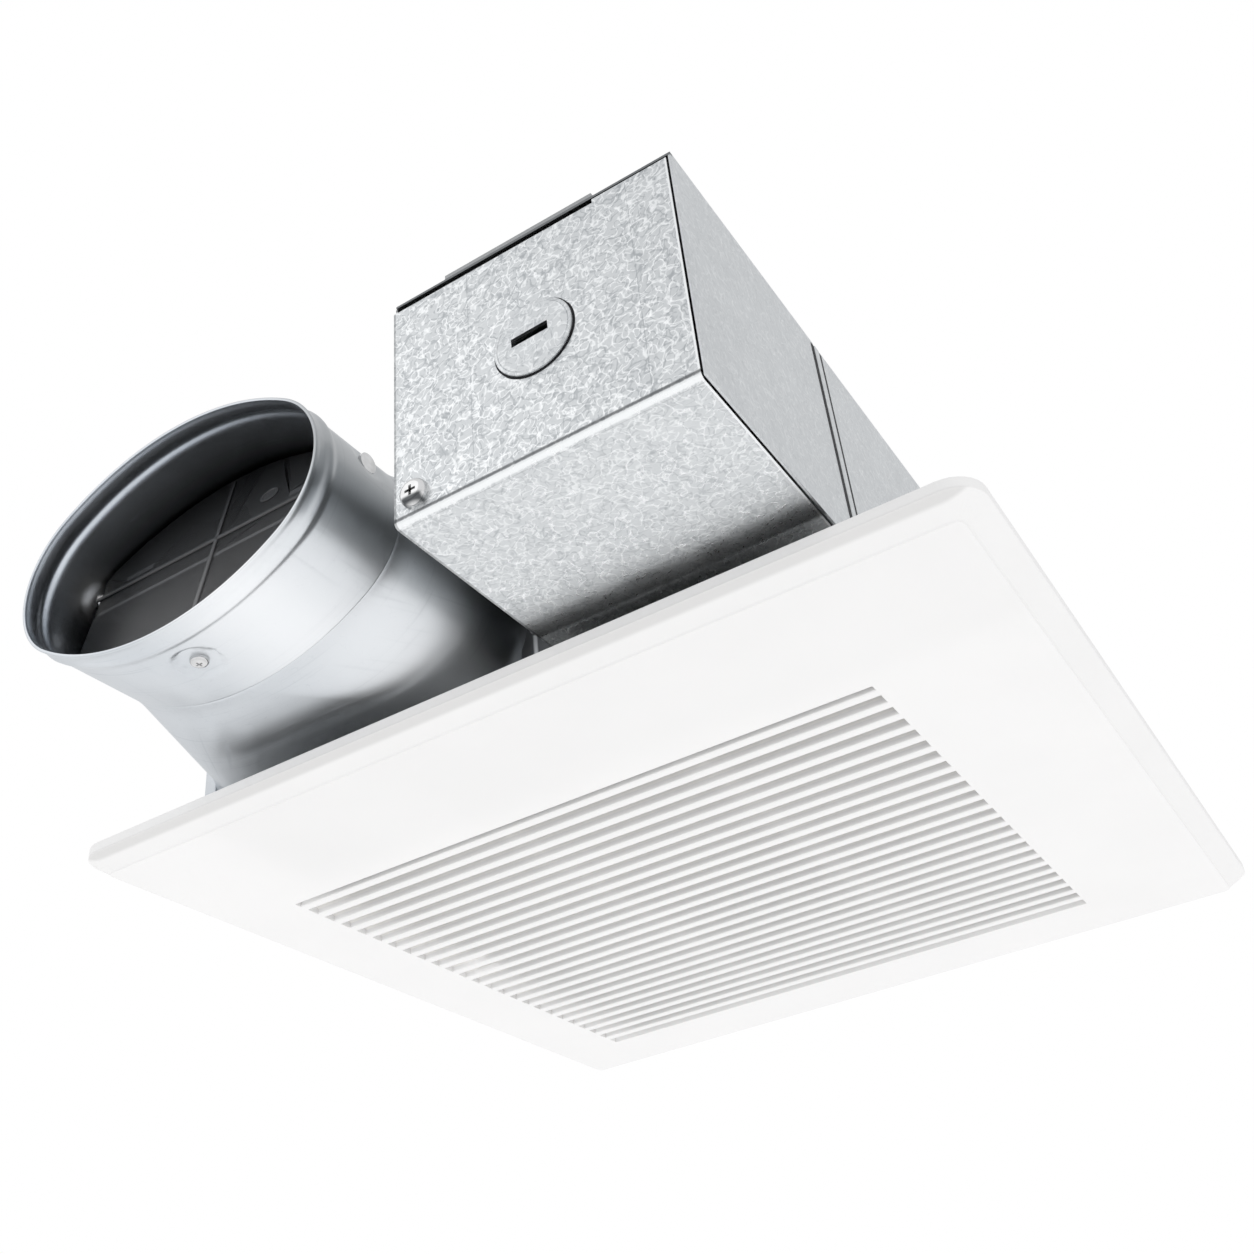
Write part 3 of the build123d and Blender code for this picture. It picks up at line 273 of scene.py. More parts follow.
@dataclass(frozen=True)
class SpangledZinc:
    """Galvanised sheet with the curling crystals of its zinc coat."""

    name: str
    light: Colour = (0.86, 0.875, 0.88)
    dark: Colour = (0.40, 0.42, 0.435)
    crystal: float = 0.0031
    line: float = 0.066
    cloud: float = 0.012
    grain: float = 0.0007
    plain_tone: float = 0.46
    contrast: float = 1.0
    plate_contrast: float = 0.6
    roughness: float = 0.40
    relief: float = 0.00005
    creases: tuple[float, ...] = ()
    crease_width: float = 0.0002
    crease_start: Limits = (0.004, 0.006)
    # Places of the bend and of the sides, where highlights and shadow lines are painted
    bend: Limits | None = None
    sides: Limits | None = None
    shadow_colour: Colour = (0.10, 0.105, 0.11)
    patches: tuple[Patch, ...] = ()

    def material(self) -> bpy.types.Material:
        """Make the material.

        Returns:
            The material.
        """
        sheet = Sheet(self.name)
        spot = sheet.place()
        lifted = self.strokes(sheet, (0, 0, 0), 1.0) + self.strokes(sheet, (25, 80, 10), 0.8)
        sunk = self.strokes(sheet, (40, 20, 70), 0.9) + self.strokes(sheet, (70, 50, 35), 1.1)
        patch = sheet.noise(spot, self.cloud, 3)
        fine = sheet.noise(spot, self.grain, 2)
        contrast, base = self.contrast, self.plain_tone
        # Below the bend, on the plate that faces down, the spangle is fainter and the tone darker:
        # painted shade.
        if self.bend:
            above = sheet.along(spot, 2).step(self.bend[1], self.bend[1] + 0.001)
            contrast = self.plate_contrast + above * (1 - self.plate_contrast)
            base = base - (1 - contrast) * 0.38
        tone = base + (patch - 0.5) * 0.2 + (fine - 0.5) * 0.16 * contrast
        tone = tone + (lifted * 0.35 - sunk * 0.25) * contrast
        height = 0.5 + lifted * 0.3 - sunk * 0.3 + (patch - 0.5) * 0.3
        # Each crease is a groove in the bump and a darker line in the tone; the darker line is
        # painted shade in the crease.
        for crease in self.creases:
            line = abs(sheet.along(spot, 0) - crease).step(self.crease_width, 0)
            line = line * sheet.along(spot, 2).step(*self.crease_start)
            tone, height = tone - line * 0.3, height - line * 0.5
        # Painted highlights along the bend and the right edge lighten the tone, and painted shadow
        # lines darken the colour.
        if self.bend:
            tone = tone + self.painted_edge_highlights(sheet, spot)
        colour = sheet.mix(tone.step(0, 1), self.dark, self.light)
        if self.bend:
            colour = sheet.mix(self.shadow(sheet, spot), colour, self.shadow_colour)
        colour = lay(self.patches, sheet, colour)
        rough = self.roughness + (patch - 0.5) * 0.16 - lifted * 0.05
        normal = sheet.bump(height, self.relief, 0.6)
        return sheet.finish(Base_Color=colour, Metallic=1.0, Roughness=rough, Normal=normal)

    def strokes(self, sheet: Sheet, turn: Colour, scale: float) -> Link:
        """Broken curling strokes of the crystals.

        Args:
            sheet: the material's sheet.
            turn: angles that set one layer of strokes apart from the next.
            scale: size of the curls against the crystal's.

        Returns:
            1 on a stroke and 0 off it.
        """
        spot = sheet.place(turn=turn)
        breaks = sheet.noise(spot, self.crystal, 1).step(0.42, 0.48)
        return sheet.ridge(spot, self.crystal * scale, self.line, 0.4) * breaks

    def painted_edge_highlights(self, sheet: Sheet, spot: Link) -> Link:
        """Painted highlights: tone of the bright strip along the bend and of the bright right edge.

        Args:
            sheet: the material's sheet.
            spot: its Object coordinates.

        Returns:
            What the two add to the tone.
        """
        up, across = sheet.along(spot, 2) - self.bend[1], sheet.along(spot, 0)
        strip = abs(up - 0.0007).step(0.0008, 0.0005)
        return strip * 0.75 + across.step(self.sides[1] - 0.0012, self.sides[1] - 0.0009) * 0.8

    def shadow(self, sheet: Sheet, spot: Link) -> Link:
        """Share of the dark lines above the bend, under it and down the left edge.

        Args:
            sheet: the material's sheet.
            spot: its Object coordinates.

        Returns:
            1 where the colour is all shadow.
        """
        front, low = self.bend
        up, out = sheet.along(spot, 2) - low, sheet.along(spot, 1) - front
        above = abs(up - 0.0020).step(0.0008, 0.0002) * 0.85
        under = abs(out - 0.0022).step(0.0002, 0) * (1 - up.step(0, 0.0004)) * 0.25
        left = 1 - sheet.along(spot, 0).step(self.sides[0], self.sides[0] + 0.0004)
        return above + under + left * 0.5


@dataclass(frozen=True)
class BrushedZinc:
    """Smooth galvanised sheet with fine crossing scratches from its forming."""

    name: str
    light: Colour = (0.71, 0.735, 0.76)
    dark: Colour = (0.50, 0.53, 0.56)
    roughness: float = 0.36
    scratch: float = 0.5
    relief: float = 0.00003
    patches: tuple[Patch, ...] = ()

    def material(self) -> bpy.types.Material:
        """Make the material.

        Returns:
            The material.
        """
        sheet = Sheet(self.name)
        along = sheet.place((26, 900, 26), (0, 38, 24))
        across = sheet.place((30, 30, 800), (52, 0, 15))
        first = sheet.noise(along, 1.0, 1).step(0.60, 0.78)
        second = sheet.noise(across, 1.0, 1).step(0.62, 0.80)
        spot = sheet.place()
        crackle = sheet.ridge(spot, 0.0035, 0.012, 0.8)
        cloud = sheet.noise(spot, 0.03, 3)
        tone = 0.55 + (cloud - 0.5) * 0.5 - (first + second + crackle) * 0.3 * self.scratch
        colour = lay(self.patches, sheet, sheet.mix(tone.step(0, 1), self.dark, self.light))
        rough = self.roughness + (cloud - 0.5) * 0.12 + (first + second) * 0.08
        height = 0.5 - (first + second + crackle) * 0.4
        normal = sheet.bump(height, self.relief, 0.35)
        return sheet.finish(Base_Color=colour, Metallic=1.0, Roughness=rough, Normal=normal)


@dataclass(frozen=True)
class PlainMetal:
    """Bright or dull metal with a slight cloud and fine wear."""

    name: str
    colour: Colour = (0.72, 0.72, 0.73)
    shade: float = 0.75
    roughness: float = 0.25
    grain: float = 0.004
    patches: tuple[Patch, ...] = ()

    def material(self) -> bpy.types.Material:
        """Make the material.

        Returns:
            The material.
        """
        sheet = Sheet(self.name)
        spot = sheet.place()
        cloud = sheet.noise(spot, self.grain, 3)
        wear = sheet.noise(sheet.place((60, 60, 1400), (10, 24, 0)), 1.0, 1).step(0.62, 0.8)
        darker = tuple(c * self.shade for c in self.colour)
        colour = sheet.mix((cloud + wear * 0.2).step(0.3, 0.8), self.colour, darker)
        colour = lay(self.patches, sheet, colour)
        rough = self.roughness + (cloud - 0.5) * 0.15 + wear * 0.05
        normal = sheet.bump(cloud - wear * 0.5, 0.00002, 0.4)
        return sheet.finish(Base_Color=colour, Metallic=1.0, Roughness=rough, Normal=normal)


@dataclass(frozen=True)
class MouldedPlastic:
    """Moulded plastic with a fine grain and a faint unevenness."""

    name: str
    colour: Colour
    roughness: float = 0.45
    grain: float = 0.0006
    relief: float = 0.00002
    gloss: float = 0.5
    patches: tuple[Patch, ...] = ()

    def material(self) -> bpy.types.Material:
        """Make the material.

        Returns:
            The material.
        """
        sheet = Sheet(self.name)
        spot = sheet.place()
        grain = sheet.noise(spot, self.grain, 2)
        cloud = sheet.noise(spot, 0.05, 2)
        darker = tuple(c * 0.985 for c in self.colour)
        colour = sheet.mix(cloud.step(0.3, 0.7), darker, self.colour)
        colour = lay(self.patches, sheet, colour)
        rough = self.roughness + (grain - 0.5) * 0.12 + (cloud - 0.5) * 0.06
        normal = sheet.bump(grain, self.relief, 0.35)
        return sheet.finish(
            Base_Color=colour, Roughness=rough, Normal=normal, Specular_IOR_Level=self.gloss
        )


@dataclass(frozen=True)
class WoundCopper:
    """Enamelled copper wire, its turns as fine ridges."""

    name: str
    colour: Colour = (0.62, 0.26, 0.12)
    wire: float = 0.0008

    def material(self) -> bpy.types.Material:
        """Make the material.

        Returns:
            The material.
        """
        sheet = Sheet(self.name)
        spot = sheet.place()
        settings = {"wave_type": "BANDS", "bands_direction": "Z"}
        inputs = {"Vector": spot, "Scale": WAVE_LENGTH / self.wire}
        turns = sheet.node("ShaderNodeTexWave", settings, inputs, 1)
        # The colour darkens between the turns: painted shade in the grooves, beside the bump's
        # relief.
        colour = sheet.mix(turns, tuple(c * 0.35 for c in self.colour), self.colour)
        normal = sheet.bump(turns, 0.0003, 0.8)
        return sheet.finish(Base_Color=colour, Metallic=0.8, Roughness=0.3, Normal=normal)


class Finish(Enum):
    """The finishes of the fan's pieces."""

    COVER_ZINC = SpangledZinc(
        "spangled_zinc_cover", roughness=0.34, creases=(0.0575, 0.1105), bend=(-0.233, 0.0031),
        sides=(0.0319, 0.1241),
    )
    WALL_ZINC = SpangledZinc("spangled_zinc_wall", contrast=0.22, roughness=0.38)
    BOX_ZINC = SpangledZinc(
        "spangled_zinc_box", contrast=0.22, roughness=0.38,
        # Painted shade on the box's top lip above the cover, darkest along its lower band.
        patches=(
            Patch(0.0004, (0.10, 0.105, 0.11), 0.85, y=(-FREE, -0.2318), z=(0.0833, 0.0846)),
            Patch(0.0004, (0.30, 0.305, 0.31), 0.85, y=(-FREE, -0.2318), z=(0.0846, FREE)),
        ),
    )
    HOUSING_ZINC = SpangledZinc(
        "spangled_zinc_housing", contrast=0.22, roughness=0.38,
        # Painted shade on the wall between the adapter and the wiring box, with two painted shadow
        # lines by the flange's edge.
        patches=(
            Patch(0.001, (0.15, 0.153, 0.158), 0.9, x=(0.0115, 0.0320), y=(-FREE, -0.1440)),
            Patch(0.0004, (0.03, 0.03, 0.03), 0.8, x=(0.0228, 0.0240), y=(-FREE, -0.1440)),
            Patch(0.0003, (0.03, 0.03, 0.03), 0.8, x=(0.0268, 0.0274), y=(-FREE, -0.1440)),
        ),
    )
    DUCT_ZINC = BrushedZinc(
        "brushed_zinc_duct",
        # A painted highlight on the duct's underside; painted shade on its upper right side and
        # towards the wall; painted shade on the right flange with a painted highlight line down it.
        patches=(
            Patch(0.050, (0.85, 0.865, 0.88), 0.85, x=(-0.030, 0.012), z=(-FREE, 0.024)),
            Patch(0.026, (0.30, 0.31, 0.32), 0.85, x=(-0.004, FREE), z=(0.034, FREE)),
            Patch(0.022, (0.07, 0.075, 0.08), 0.9, x=(0.000, FREE), y=(-0.168, FREE)),
            Patch(0.001, (0.11, 0.113, 0.117), 0.95, x=(0.0115, FREE), y=(-0.1480, FREE)),
            Patch(0.0008, (0.75, 0.76, 0.77), 0.8, x=(0.0158, 0.0172), y=(-0.1480, FREE)),
        ),
    )
    COLLAR_ZINC = BrushedZinc(
        "bright_zinc_collar", roughness=0.33, scratch=0.35,
        # A painted highlight along the collar's underside and painted shade on its upper right
        # side.
        patches=(
            Patch(0.045, (0.95, 0.96, 0.97), 0.95, x=(-0.044, -0.004), z=(-FREE, 0.020)),
            Patch(0.026, (0.36, 0.37, 0.375), 0.85, x=(-0.004, FREE), z=(0.036, FREE)),
        ),
    )
    KNOCKOUT_ZINC = SpangledZinc("spangled_zinc_knockout", contrast=0.6, roughness=0.36)
    # Near-black finish of thin strips laid in gaps: painted shade.
    GAP = PlainMetal("shadowed_gap", (0.04, 0.04, 0.043), 0.8, 0.6)
    INNER_ZINC = BrushedZinc(
        "shaded_zinc_inner", (0.76, 0.80, 0.85), (0.56, 0.60, 0.65), 0.30,
        # Painted shade that deepens into the duct, and a painted glint on the left dimple inside.
        patches=(
            Patch(0.024, (0.03, 0.03, 0.034), 0.98, y=(-0.2155, FREE)),
            Patch(
                0.010, (0.90, 0.90, 0.90), 0.98, x=(-FREE, -0.107), y=(-0.2185, -0.2025),
                z=(0.0500, 0.0640),
            ),
        ),
    )
    DAMPER = MouldedPlastic(
        "dark_damper_plastic", (0.15, 0.15, 0.152), 0.40, 0.0004,
        # Painted shade on the flap's upper part, darkest at the top, and on its left end.
        patches=(
            Patch(0.050, (0.028, 0.028, 0.029), z=(0.040, FREE)),
            Patch(0.026, (0.003, 0.003, 0.003), z=(0.065, FREE)),
            Patch(0.022, (0.003, 0.003, 0.003), x=(-FREE, -0.090)),
        ),
    )
    SCREW = PlainMetal("bright_zinc_screw", (0.70, 0.70, 0.70), 0.8, 0.14)
    COVER_SCREW = PlainMetal(
        "bright_zinc_cover_screw", (0.78, 0.78, 0.78), 0.85, 0.14,
        # Painted dark reflection on the lower part of the screw's dome.
        patches=(
            Patch(0.0012, (0.06, 0.065, 0.07), 0.95, x=(0.0353, 0.0416), z=(0.0071, 0.0093)),
        ),
    )
    GROUND_SCREW = PlainMetal("green_ground_screw", (0.05, 0.30, 0.10), 0.8, 0.3)
    ROTOR = PlainMetal("turned_rotor_steel", (0.5, 0.5, 0.52), 0.8, 0.3)
    STATOR = PlainMetal("laminated_stator_steel", (0.33, 0.34, 0.36), 0.7, 0.42, 0.0009)
    SPRING = PlainMetal("drawn_spring_wire", (0.6, 0.6, 0.61), 0.85, 0.22)
    WHITE = MouldedPlastic(
        "white_grille_plastic", (0.875, 0.868, 0.861), 0.55, gloss=0.12,
        # Painted shade on the sloping band along the grille's near side.
        patches=(
            Patch(0.0014, (0.72, 0.713, 0.704), y=(-FREE, -0.1622), z=(-FREE, -0.0034)),
        ),
    )
    SHADED_WHITE = MouldedPlastic(
        "shaded_grille_plastic", (0.95, 0.935, 0.91), 0.6, gloss=0.12,
    )
    BLACK = MouldedPlastic("black_blower_plastic", (0.03, 0.03, 0.033), 0.5)
    CONNECTOR = MouldedPlastic("pale_connector_plastic", (0.78, 0.77, 0.72), 0.35)
    BOARD = MouldedPlastic("green_driver_board", (0.02, 0.14, 0.05), 0.3)
    RUBBER = MouldedPlastic("black_rubber", (0.02, 0.02, 0.02), 0.8)
    MAGNET = MouldedPlastic("sintered_magnet", (0.05, 0.05, 0.055), 0.6, 0.001)
    COPPER = WoundCopper("enamelled_copper")

    def get(self) -> bpy.types.Material:
        """Give this finish's material, made the first time."""
        return bpy.data.materials.get(self.value.name) or self.value.material()


NODE_FINISHES: dict[Finish, str] = {
    Finish.HOUSING_ZINC: "housing",
    Finish.WALL_ZINC: "scroll_wall inlet_plate wiring_box motor_base spring_bracket_left "
    "spring_bracket_right",
    Finish.DUCT_ZINC: "adapter_body duct_collar",
    Finish.COVER_ZINC: "wiring_cover",
    Finish.SCREW: "casing_screws adapter_screws damper_stop_screw damper_stop_nut cover_screw "
    "motor_screws wheel_nut damper_rod",
    Finish.GROUND_SCREW: "ground_screw",
    Finish.DAMPER: "damper_flap",
    Finish.WHITE: "grille grille_post_left grille_post_right",
    Finish.BLACK: "impeller driver_cover",
    Finish.CONNECTOR: "line_connector",
    Finish.BOARD: "driver_board",
    Finish.ROTOR: "motor_rotor motor_shaft motor_bearings",
    Finish.STATOR: "motor_stator",
    Finish.COPPER: "motor_windings",
    Finish.MAGNET: "rotor_magnet",
    Finish.RUBBER: "motor_grommets",
    Finish.SPRING: "grille_spring_left grille_spring_right",
}


def dress_nodes() -> None:
    """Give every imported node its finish."""
    for finish, names in NODE_FINISHES.items():
        for name in names.split():
            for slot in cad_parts[name].material_slots:
                slot.material = finish.get()
            log.info("%s is finished in %s", name, finish.value.name)


class Piece:
    """A mesh in the making, shaped with Blender's own modelling operators."""

    def __init__(self, thing: bpy.types.Object, name: str) -> None:
        """Name the object in hand."""
        self.thing = thing
        thing.name = thing.data.name = name

    @staticmethod
    def clear() -> None:
        """Leave edit mode and let go of everything."""
        if bpy.context.mode != "OBJECT":
            bpy.ops.object.mode_set(mode="OBJECT")
        bpy.ops.object.select_all(action="DESELECT")

    @classmethod
    def block(cls, name: str, low: Triple, high: Triple) -> Piece:
        """Start from a cube between two corners.

        Args:
            name: the piece's name.
            low: its lowest corner.
            high: its highest corner.

        Returns:
            The piece.
        """
        cls.clear()
        low, high = Vector(low), Vector(high)
        bpy.ops.mesh.primitive_cube_add(size=1, location=(low + high) / 2, scale=high - low)
        return cls(bpy.context.object, name).settle()

    @classmethod
    def rod(
        cls, name: str, centre: Triple, radius: float, length: float,
        turn: Triple = (0, 0, 0), sides: int = 48, cap: str = "NGON",
    ) -> Piece:
        """Start from a cylinder.

        Args:
            name: the piece's name.
            centre: its middle.
            radius: its radius.
            length: its length.
            turn: its angles in degrees, from upright.
            sides: how many sides stand for its round.
            cap: how its ends are filled.

        Returns:
            The piece.
        """
        cls.clear()
        angles = tuple(math.radians(a) for a in turn)
        bpy.ops.mesh.primitive_cylinder_add(
            vertices=sides, radius=radius, depth=length, end_fill_type=cap,
            location=tuple(centre), rotation=angles,
        )
        return cls(bpy.context.object, name).settle()

    @classmethod
    def copy_of(cls, name: str, node: str) -> Piece:
        """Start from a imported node's own form, its doubles merged and its flats made whole.

        Args:
            name: the piece's name.
            node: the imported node's name.

        Returns:
            The piece, in edit mode.
        """
        cls.clear()
        thing = bpy.data.objects.new(name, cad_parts[node].data.copy())
        bpy.context.scene.collection.objects.link(thing)
        piece = cls(thing, name).pick("VERT", lambda item: True)
        piece.do("remove_doubles", threshold=MERGE_DISTANCE)
        return piece.do("dissolve_limited", angle_limit=math.radians(0.5))

    def hold(self) -> None:
        """Make this the one selected and active object."""
        self.clear()
        self.thing.select_set(True)
        bpy.context.view_layer.objects.active = self.thing

    def settle(self) -> Piece:
        """Put the object's place, turn and size into its mesh.

        Returns:
            The piece.
        """
        self.hold()
        bpy.ops.object.transform_apply(location=True, rotation=True, scale=True)
        return self

    def pick(self, kind: str, test: Callable) -> Piece:
        """Select elements in edit mode.

        Args:
            kind: VERT, EDGE or FACE.
            test: says of one element whether it is picked.

        Returns:
            The piece.
        """
        self.hold()
        bpy.ops.object.mode_set(mode="EDIT")
        bpy.ops.mesh.select_mode(type=kind)
        bpy.ops.mesh.select_all(action="DESELECT")
        form = bmesh.from_edit_mesh(self.thing.data)
        group = {"VERT": form.verts, "EDGE": form.edges, "FACE": form.faces}[kind]
        for item in group:
            if test(item):
                item.select_set(True)
        bmesh.update_edit_mesh(self.thing.data)
        return self

    def do(self, operator: str, **options: object) -> Piece:
        """Run a mesh operator on what is picked."""
        getattr(bpy.ops.mesh, operator)(**options)
        return self

    def draw_out(self, step: Triple) -> Piece:
        """Extrude what is picked by a step."""
        return self.do("extrude_region_move", TRANSFORM_OT_translate={"value": tuple(step)})

    def resize(self, factors: Triple, centre: Triple) -> Piece:
        """Scale what is picked about a centre."""
        bpy.ops.transform.resize(value=tuple(factors), center_override=tuple(centre))
        return self

    def warp(self, move: Callable) -> Piece:
        """Push every vertex to a new place.

        Args:
            move: gives the new place of a vertex from its place.

        Returns:
            The piece.
        """
        self.clear()
        for vertex in self.thing.data.vertices:
            vertex.co = move(vertex.co.copy())
        return self

    def place(self, move: Matrix) -> Piece:
        """Move, turn or stretch the whole mesh.

        Args:
            move: the matrix that does it.

        Returns:
            The piece.
        """
        self.clear()
        self.thing.data.transform(move)
        return self

    def modify(self, kind: str, **settings: object) -> Piece:
        """Add a modifier and apply it.

        Args:
            kind: the modifier's type.
            settings: its properties.

        Returns:
            The piece.
        """
        self.hold()
        modifier = self.thing.modifiers.new(kind.lower(), kind)
        for name, value in settings.items():
            setattr(modifier, name, value)
        bpy.ops.object.modifier_apply(modifier=modifier.name)
        return self

    def soften(self, width: float, segments: int = 2, angle: float = 30) -> Piece:
        """Round the edges that are sharper than an angle."""
        limit = math.radians(angle)
        return self.modify(
            "BEVEL", width=width, segments=segments, limit_method="ANGLE", angle_limit=limit,
            miter_outer="MITER_ARC",
        )

    def cut(self, *tools: Piece) -> Piece:
        """Take other pieces' space out of this one.

        Args:
            tools: the other pieces, which are used up.

        Returns:
            The piece.
        """
        for tool in tools:
            self.modify("BOOLEAN", operation="DIFFERENCE", solver="EXACT", object=tool.thing)
            bpy.data.objects.remove(tool.thing)
        return self

    def copy(self, name: str, step: Triple = (0, 0, 0)) -> Piece:
        """Copy the piece with a mesh of its own.

        Args:
            name: the copy's name.
            step: how far it is moved.

        Returns:
            The copy.
        """
        self.clear()
        thing = bpy.data.objects.new(name, self.thing.data.copy())
        bpy.context.scene.collection.objects.link(thing)
        thing.data.transform(Matrix.Translation(tuple(step)))
        return Piece(thing, name)

    def join(self, others: Iterable[Piece]) -> Piece:
        """Take other pieces into this one's mesh.

        Args:
            others: the pieces that it takes in.

        Returns:
            The piece.
        """
        self.hold()
        for other in others:
            other.thing.select_set(True)
        bpy.ops.object.join()
        return self

    def face_out(self) -> Piece:
        """Turn all faces outwards, their doubles merged."""
        self.pick("VERT", lambda item: True).do("remove_doubles", threshold=MERGE_DISTANCE)
        return self.do("normals_make_consistent", inside=False)

    def dress(self, *finishes: Finish) -> Piece:
        """Give the mesh its finishes.

        Args:
            finishes: the finishes, in the order of its material slots.

        Returns:
            The piece.
        """
        self.thing.data.materials.clear()
        for finish in finishes:
            self.thing.data.materials.append(finish.get())
        return self

    def done(
        self, finish: Finish | None, slot: str = "galvanised_steel",
        stands_for: Iterable[str] = (), body: str = "fan_body",
    ) -> None:
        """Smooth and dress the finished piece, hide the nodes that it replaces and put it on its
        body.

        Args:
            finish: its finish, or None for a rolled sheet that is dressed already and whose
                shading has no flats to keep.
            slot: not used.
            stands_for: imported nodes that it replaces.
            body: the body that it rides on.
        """
        self.hold()
        bpy.ops.object.shade_smooth_by_angle(angle=SMOOTH_ANGLE)
        if finish:
            self.modify("WEIGHTED_NORMAL", keep_sharp=True, weight=100).dress(finish)
        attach(self.thing, body)
        if stands_for:
            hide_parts(*stands_for)
        log.info("%s is built and rides on %s", self.thing.name, body)


@dataclass
class GrillePanel:
    """Moulded louvred panel with a soft edge, bars, blades and ribs."""

    side: float = 0.330
    depth: float = 0.009
    edge_height: float = 0.0036
    corner: float = 0.0105
    face_inset: float = 0.0075
    face_step: float = 0.0006
    wall: float = 0.0025
    pitch: float = 0.0091
    slot: float = 0.0051
    slots: int = 25
    left: float = -0.128
    right: float = 0.1044
    near: float = -0.0976
    first_narrowing: float = 0.002
    blade: float = 0.002
    blade_top: float = -0.001
    rib: float = 0.0022
    rib_depth: float = 0.003
    rib_places: tuple[float, ...] = (-0.1165, -0.03875, 0.03875)
    pad_half: tuple[float, float] = (0.0057, 0.007)
    sink: float = 0.00002
    panel_round: float = 0.0007
    bar_round: float = 0.0006
    blade_round: float = 0.0003

    def frame_part(self) -> Piece:
        """Make the tray with its proud face and one opening for all the slots.

        Returns:
            The tray.
        """
        half = self.side / 2
        panel = Piece.block("grille_panel", (-half, -half, -self.edge_height), (half, half, 0))
        panel.pick("EDGE", lambda e: abs(e.verts[0].co.z - e.verts[1].co.z) > self.edge_height / 2)
        panel.do("bevel", offset=self.corner, segments=8, affect="EDGES")
        slope = self.depth - self.face_step - self.edge_height
        panel.pick("FACE", lambda f: f.normal.z < -0.9)
        panel.do("inset", thickness=self.face_inset, depth=slope)
        panel.do("inset", thickness=self.face_step / 2, depth=self.face_step)
        panel.pick("FACE", lambda f: f.normal.z > 0.9)
        panel.do("inset", thickness=self.wall, depth=0)
        panel.do("inset", thickness=self.wall / 9, depth=-self.edge_height)
        hollow = self.depth - self.edge_height - self.wall
        panel.do("inset", thickness=self.face_inset, depth=-hollow)
        far = self.near + self.pitch * (self.slots - 1) + self.slot
        opening = Piece.block(
            "field", (self.left, self.near + self.first_narrowing, -2 * self.depth),
            (self.right, far, self.depth),
        )
        return panel.cut(opening).soften(self.panel_round, 3, 20)

    def bars(self) -> list[Piece]:
        """Make the blades behind the bars, and the bars between the slots.

        Returns:
            The bars.
        """
        over = self.wall / 2
        low, back = self.sink - self.depth, self.wall - self.depth
        first = self.near + self.slot
        bar = Piece.block(
            "bar", (self.left - over, first, low),
            (self.right + over, first + self.pitch - self.slot, back),
        ).soften(self.bar_round, 3)
        blade = Piece.block(
            "blade", (self.left - over, first, back - over / 2),
            (self.right + over, first + self.blade, self.blade_top),
        ).soften(self.blade_round)
        steps = range(1, self.slots - 1)
        blades = [blade.copy("blade", (0, self.pitch * i, 0)) for i in steps]
        blade.thing.name = "grille_blades"
        blade.join(blades).done(Finish.SHADED_WHITE, "white_plastic", body="grille_panel")
        return [bar] + [bar.copy(f"bar_{i}", (0, self.pitch * i, 0)) for i in steps]

    def ribs(self) -> list[Piece]:
        """Make the cross ribs under the blades' tops, and the pads of the spring posts.

        Returns:
            The ribs and the pads.
        """
        far = self.near + self.pitch * self.slots
        made = []
        for place in self.rib_places:
            half, low = self.rib / 2, self.blade_top - self.rib_depth
            made.append(Piece.block(
                "rib", (place - half, self.near - self.slot / 2, low),
                (place + half, far, self.blade_top - self.sink),
            ))
        half_x, half_y = self.pad_half
        for side in (-1, 1):
            x = side * abs(self.rib_places[0])
            low = (x - half_x, -half_y, self.wall - self.depth - self.sink)
            made.append(Piece.block("pad", low, (x + half_x, half_y, self.blade_top)))
        return made

    def build(self) -> None:
        """Make the whole panel."""
        panel = self.frame_part().join(self.bars() + self.ribs())
        panel.done(Finish.WHITE, "white_plastic", ("grille",), "grille_panel")


